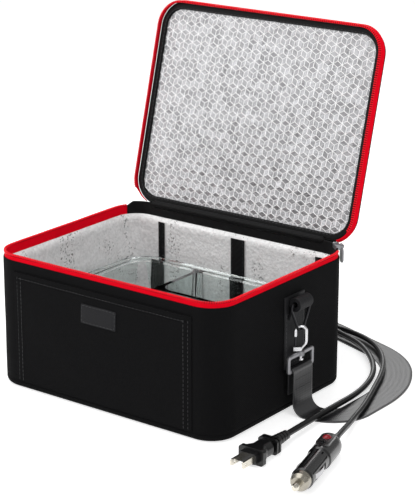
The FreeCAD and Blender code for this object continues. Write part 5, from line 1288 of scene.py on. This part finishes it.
class LUNCH_BAG_OT_side_tabs(bpy.types.Operator):
    """Sews the webbing patch and roll on each side, and finishes the ring, hook, gate and loop below it"""

    bl_idname = "lunch_bag.side_tabs"
    bl_label = "Side tabs"

    def execute(self, context):
        sizes, look = settings(context)
        webbing, thread = nylon_webbing("tab_webbing", look, sizes, 0.62, 1.3), sewing_thread(look)
        middle_y = (TAB_LOW.y + TAB_HIGH.y) / 2
        bar = Vector(((RING_LOW.x + RING_HIGH.x) / 2, middle_y, RING_BAR))
        tab_top, seam_top, seam_inset, cloth, roll_wide, roll_radius = 118.0, 100.0, 2.5, 1.8, 22.0, 7.6
        for side, place in SIDES:
            skin = Skin()
            line = []
            for z in range(int(TAB_LOW.z), int(tab_top) + 1, 3):
                base = Vector((HALF_WIDE, middle_y, z))
                line.append(base + ACROSS * (swell(base, Vector((1, 0)), sizes) + cloth / 2))
            skin.strip(line, TAB_HIGH.y - TAB_LOW.y, cloth, -BACK)
            self.roll(skin, bar, roll_radius, roll_wide)
            face_x = line[8].x + cloth / 2 + 0.05
            near, far = TAB_LOW.y + seam_inset, TAB_HIGH.y - seam_inset
            low, high = TAB_LOW.z + 3, seam_top
            box = ((near, low), (far, low), (far, high), (near, high))
            corners = [Vector((face_x, y, z)) for y, z in box]
            skin.sewn_box(corners, ACROSS, sizes)
            skin.turned(place).make("side_tab_webbing_" + side, [webbing, thread], "bag",
                                    ["side_tab_" + side], "webbing")
        metals = (("black_lacquered_wire", "#2b2b2d", 0.4, 6, "strap_ring_"),
                  ("bright_nickel", "#cfcfd1", 0.18, 5, "snap_hook_"),
                  # The gate's near-black grey is painted shade on the hook's gate.
                  ("dark_gate_painted_shade", "#343437", 0.34, 5, "hook_gate_"),
                  ("satin_gunmetal_loop", "#9a9a9d", 0.46, 6, "strap_loop_"))
        for name, code, roughness, streak, node in metals:
            dress(plated_metal(name, code, roughness, streak), node + "right", node + "left")
        return {"FINISHED"}

    def roll(self, skin, bar, radius, wide):
        """Webbing rolled round the ring's bar, and its tail drawn in to the patch below."""
        cloth, core, turns, steps = 2.0, 2.9, 1.9, 60
        tail_stand, tail_drop, first = 2.6, 17, math.radians(-118)
        line = [Vector((HALF_WIDE + tail_stand, bar.y, bar.z - tail_drop))]
        for step in range(steps + 1):
            share = step / steps
            angle = first + 2 * math.pi * turns * share
            reach = radius - cloth / 2 - (radius - cloth / 2 - core) * share
            line.append(bar + ACROSS * reach * math.cos(angle) + UP * reach * math.sin(angle))
        skin.strip(spaced(line, 1.2), wide, cloth, BACK)


# Strap's way on the floor, as the source has it, and the bends at its inner points
STRAP_ROUTE = [(164.2, 10), (194.2, 10), (194.2, 112), (154.2, 179), (40, 221), (-70, 245), (-174.2, 221),
               (-204.2, 119), (-194.2, 10), (-164.2, 10)]
STRAP_BENDS = [29, 140, 100, 300, 150, 95, 140, 29]
STRAP_WIDE = 32.0
STRAP_CLOTH = 1.6


class LUNCH_BAG_OT_strap(bpy.types.Operator):
    """Lays the shoulder strap round the back of the bag and folds its ends over the two loops"""

    bl_idname = "lunch_bag.strap"
    bl_label = "Strap"

    def execute(self, context):
        sizes, look = settings(context)
        webbing, thread = nylon_webbing("strap_webbing", look, sizes, 0.34, 1.7), sewing_thread(look)
        line = fold_line([(x, y, STRAP_CLOTH / 2) for x, y in STRAP_ROUTE], STRAP_BENDS, 4.0)
        skin = Skin()
        skin.strip(line, STRAP_WIDE, STRAP_CLOTH)
        skin.make("shoulder_strap_webbing", [webbing], "bag", ["shoulder_strap"], "webbing")
        for side, place in SIDES:
            self.drop(side, place, webbing, thread, sizes)
        return {"FINISHED"}

    def drop(self, side, place, webbing, thread, sizes):
        """Strap end: a sewn fold over the loop's lower bar, then down and out on to the floor."""
        low, high = spot("strap_drop_right")
        bar_x, bar_z, fold, bend = (RING_LOW.x + RING_HIGH.x) / 2, LOOP_BAR, 24.0, 12.0
        lap = bar_x - low.x - STRAP_CLOTH / 2
        middle = (low.y + high.y) / 2
        floor = STRAP_CLOTH / 2
        points = [(bar_x - lap, middle, bar_z - fold), (bar_x - lap, middle, bar_z + lap),
                  (bar_x + lap, middle, bar_z + lap), (bar_x + lap, middle, floor), (high.x, middle, floor)]
        line = fold_line(points, [lap, lap, bend], 1.5)
        skin = Skin()
        skin.strip(line, STRAP_WIDE, STRAP_CLOTH, BACK)
        face_x, seam_half = bar_x + lap + STRAP_CLOTH / 2, 13
        for height in (bar_z - 8, bar_z - 18):
            ends = [Vector((face_x, middle + side_way * seam_half, height)) for side_way in (-1, 1)]
            skin.seam(ends, ACROSS, sizes)
        name = "strap_drop_" + side
        made = skin.turned(place).make("folded_" + name, [webbing, thread], None, [name], "webbing")
        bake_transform(made)


class LUNCH_BAG_OT_heating_plate(bpy.types.Operator):
    """Finishes the heating plate, its sockets and what it holds inside"""

    bl_idname = "lunch_bag.heating_plate"
    bl_label = "Heating plate"

    def execute(self, context):
        look = settings(context)[1]
        dress(coated_aluminium(look), "heater_top")
        dress(moulded_plastic("moulded_abs_base", look.plate_base, 0.46, 0.8, 0.07), "heater_base")
        dress(moulded_plastic("moulded_nylon_socket", look.plastic, 0.3, 1.0, 0.03), "ac_inlet", "dc_jack")
        dress(plated_metal("nickelled_jack_ring", "#d4d0c6", 0.22, 3), "jack_ring", "socket_pins")
        dress(plated_metal("zinc_plated_steel", "#b4b4b3", 0.32, 4), "heater_screws")
        dress(moulded_plastic("polyimide_heating_film", linear("#b87a2c"), 0.3, 2.0, 0.04), "heating_film")
        dress(moulded_plastic("white_ceramic_case", linear("#dedcd4"), 0.5, 1.0, 0.05), "thermostat")
        dress(moulded_plastic("silicone_insulation", linear("#8f1d1d"), 0.55, 1.0, 0.03), "heater_wires")
        return {"FINISHED"}


class LUNCH_BAG_OT_tray(bpy.types.Operator):
    """Finishes the three-part glass tray"""

    bl_idname = "lunch_bag.tray"
    bl_label = "Glass tray"

    def execute(self, context):
        dress(pressed_glass(), "glass_tray")
        return {"FINISHED"}


# Place and aim of each lamp in metres, its size in metres and its power in watts
LAMPS = (("softbox_above", (-0.25, -0.35, 1.7), (0.0, 0.05, 0.1), 1.6, 15.0),
         ("softbox_left", (-1.35, -1.05, 0.95), (0.0, 0.0, 0.12), 1.1, 12.0),
         ("softbox_right", (1.5, -0.5, 0.85), (0.05, 0.0, 0.12), 0.9, 8.0),
         ("softbox_behind", (-0.7, 1.35, 0.9), (0.15, 0.1, 0.0), 0.7, 4.0))
# The point that the camera looks at, and its sensor's width
VIEW_TARGET = Vector((44.75, 0, 144.85))
SENSOR = 36


class LUNCH_BAG_OT_stage(bpy.types.Operator):
    """Sets the pale floor, the soft studio light and the camera"""

    bl_idname = "lunch_bag.stage"
    bl_label = "Stage"

    def execute(self, context):
        sizes = settings(context)[0]
        scene = context.scene
        scene.view_settings.view_transform = "Standard"
        self.camera(scene, sizes)
        self.floor(scene)
        self.world(scene)
        for lamp in LAMPS:
            self.lamp(scene, *lamp)
        return {"FINISHED"}

    def camera(self, scene, sizes):
        """Stands where the photograph was taken from."""
        azimuth, elevation = sizes.view_azimuth, sizes.view_elevation
        back = Vector((math.sin(azimuth) * math.cos(elevation), -math.cos(azimuth) * math.cos(elevation),
                       math.sin(elevation)))
        camera = bpy.data.cameras.new("photo_camera")
        camera.lens = sizes.lens
        camera.sensor_width = SENSOR
        made = bpy.data.objects.new("photo_camera", camera)
        made.location = VIEW_TARGET * MM + back * sizes.view_distance
        made.rotation_euler = back.to_track_quat("Z", "Y").to_euler()
        scene.collection.objects.link(made)
        scene.camera = made

    def floor(self, scene):
        """White paper sweep: it takes the shadow, and is near white to the camera and in reflections."""
        mesh = bpy.data.meshes.new("paper_floor")
        far = 9.0
        mesh.from_pydata([(-far, -far, 0), (far, -far, 0), (far, far, 0), (-far, far, 0)], [], [(0, 1, 2, 3)])
        made = bpy.data.objects.new("paper_floor", mesh)
        scene.collection.objects.link(made)
        material, tree, shader = new_material("white_paper", linear("#e6e6e6"), Roughness=0.9,
                                              Specular_IOR_Level=0.1)
        seen = self.seen(tree, "Is Camera Ray", "Is Glossy Ray")
        lift = add(tree, "Emission", {"Color": (1, 1, 1, 1), "Strength": 0.6})
        dark = add(tree, "Emission", {"Strength": 0.0})
        glow = add(tree, "MixShader", {0: seen, 1: dark.outputs[0], 2: lift.outputs[0]})
        both = add(tree, "AddShader", {0: shader.outputs[0], 1: glow.outputs[0]})
        tree.links.new(both.outputs[0], tree.nodes["Material Output"].inputs["Surface"])
        mesh.materials.append(material)

    def seen(self, tree, *looks):
        """1 where glass, or one of the other looks that are named, meets the surface."""
        path = add(tree, "LightPath")
        level = path.outputs["Is Transmission Ray"]
        for name in looks:
            level = add(tree, "Math", {0: level, 1: path.outputs[name]}, operation="MAXIMUM").outputs[0]
        return level

    def world(self, scene):
        """White all round to the camera, and a softer fill of the same white as light."""
        world = bpy.data.worlds.new("white_studio")
        world.use_nodes = True
        scene.world = world
        tree = world.node_tree
        seen = self.seen(tree, "Is Camera Ray")
        level = add(tree, "MapRange", {"Value": seen, "To Min": 0.42, "To Max": 1.0})
        background = tree.nodes["Background"]
        background.inputs["Color"].default_value = (1, 1, 1, 1)
        tree.links.new(level.outputs["Result"], background.inputs["Strength"])

    def lamp(self, scene, name, at, aim, size, power):
        light = bpy.data.lights.new(name, "AREA")
        light.size = size
        light.energy = power
        made = bpy.data.objects.new(name, light)
        made.location = at
        made.rotation_euler = (Vector(at) - Vector(aim)).to_track_quat("Z", "Y").to_euler()
        scene.collection.objects.link(made)


class LUNCH_BAG_PT_panel(bpy.types.Panel):
    """Lists the bag's pieces with their sizes and colours"""

    bl_idname = "LUNCH_BAG_PT_panel"
    bl_label = "Lunch bag"
    bl_space_type = "VIEW_3D"
    bl_region_type = "UI"
    bl_category = "Lunch bag"

    def draw(self, context):
        sizes, look = settings(context)
        for group in (sizes, look):
            box = self.layout.box()
            for name in group.bl_rna.properties.keys():
                if name not in ("rna_type", "name"):
                    box.prop(group, name)
        for step in STEPS:
            self.layout.operator("lunch_bag." + step)


STEPS = ("stage", "leads", "bag_cloth", "front_pocket", "bag_lining", "zip", "lid_cloth", "lid_lining",
         "side_tabs", "strap", "heating_plate", "tray")
CLASSES = (LunchBagSizes, LunchBagColours, LUNCH_BAG_OT_stage, LUNCH_BAG_OT_leads, LUNCH_BAG_OT_bag_cloth,
           LUNCH_BAG_OT_front_pocket, LUNCH_BAG_OT_bag_lining, LUNCH_BAG_OT_zip, LUNCH_BAG_OT_lid_cloth,
           LUNCH_BAG_OT_lid_lining, LUNCH_BAG_OT_side_tabs, LUNCH_BAG_OT_strap, LUNCH_BAG_OT_heating_plate,
           LUNCH_BAG_OT_tray, LUNCH_BAG_PT_panel)


def register():
    for kind in CLASSES:
        bpy.utils.register_class(kind)
    bpy.types.Scene.lunch_bag_sizes = PointerProperty(type=LunchBagSizes)
    bpy.types.Scene.lunch_bag_colours = PointerProperty(type=LunchBagColours)


def unregister():
    del bpy.types.Scene.lunch_bag_colours
    del bpy.types.Scene.lunch_bag_sizes
    for kind in reversed(CLASSES):
        bpy.utils.unregister_class(kind)


def main():
    register()
    for step in STEPS:
        getattr(bpy.ops.lunch_bag, step)()


if __name__ == "__main__":
    main()
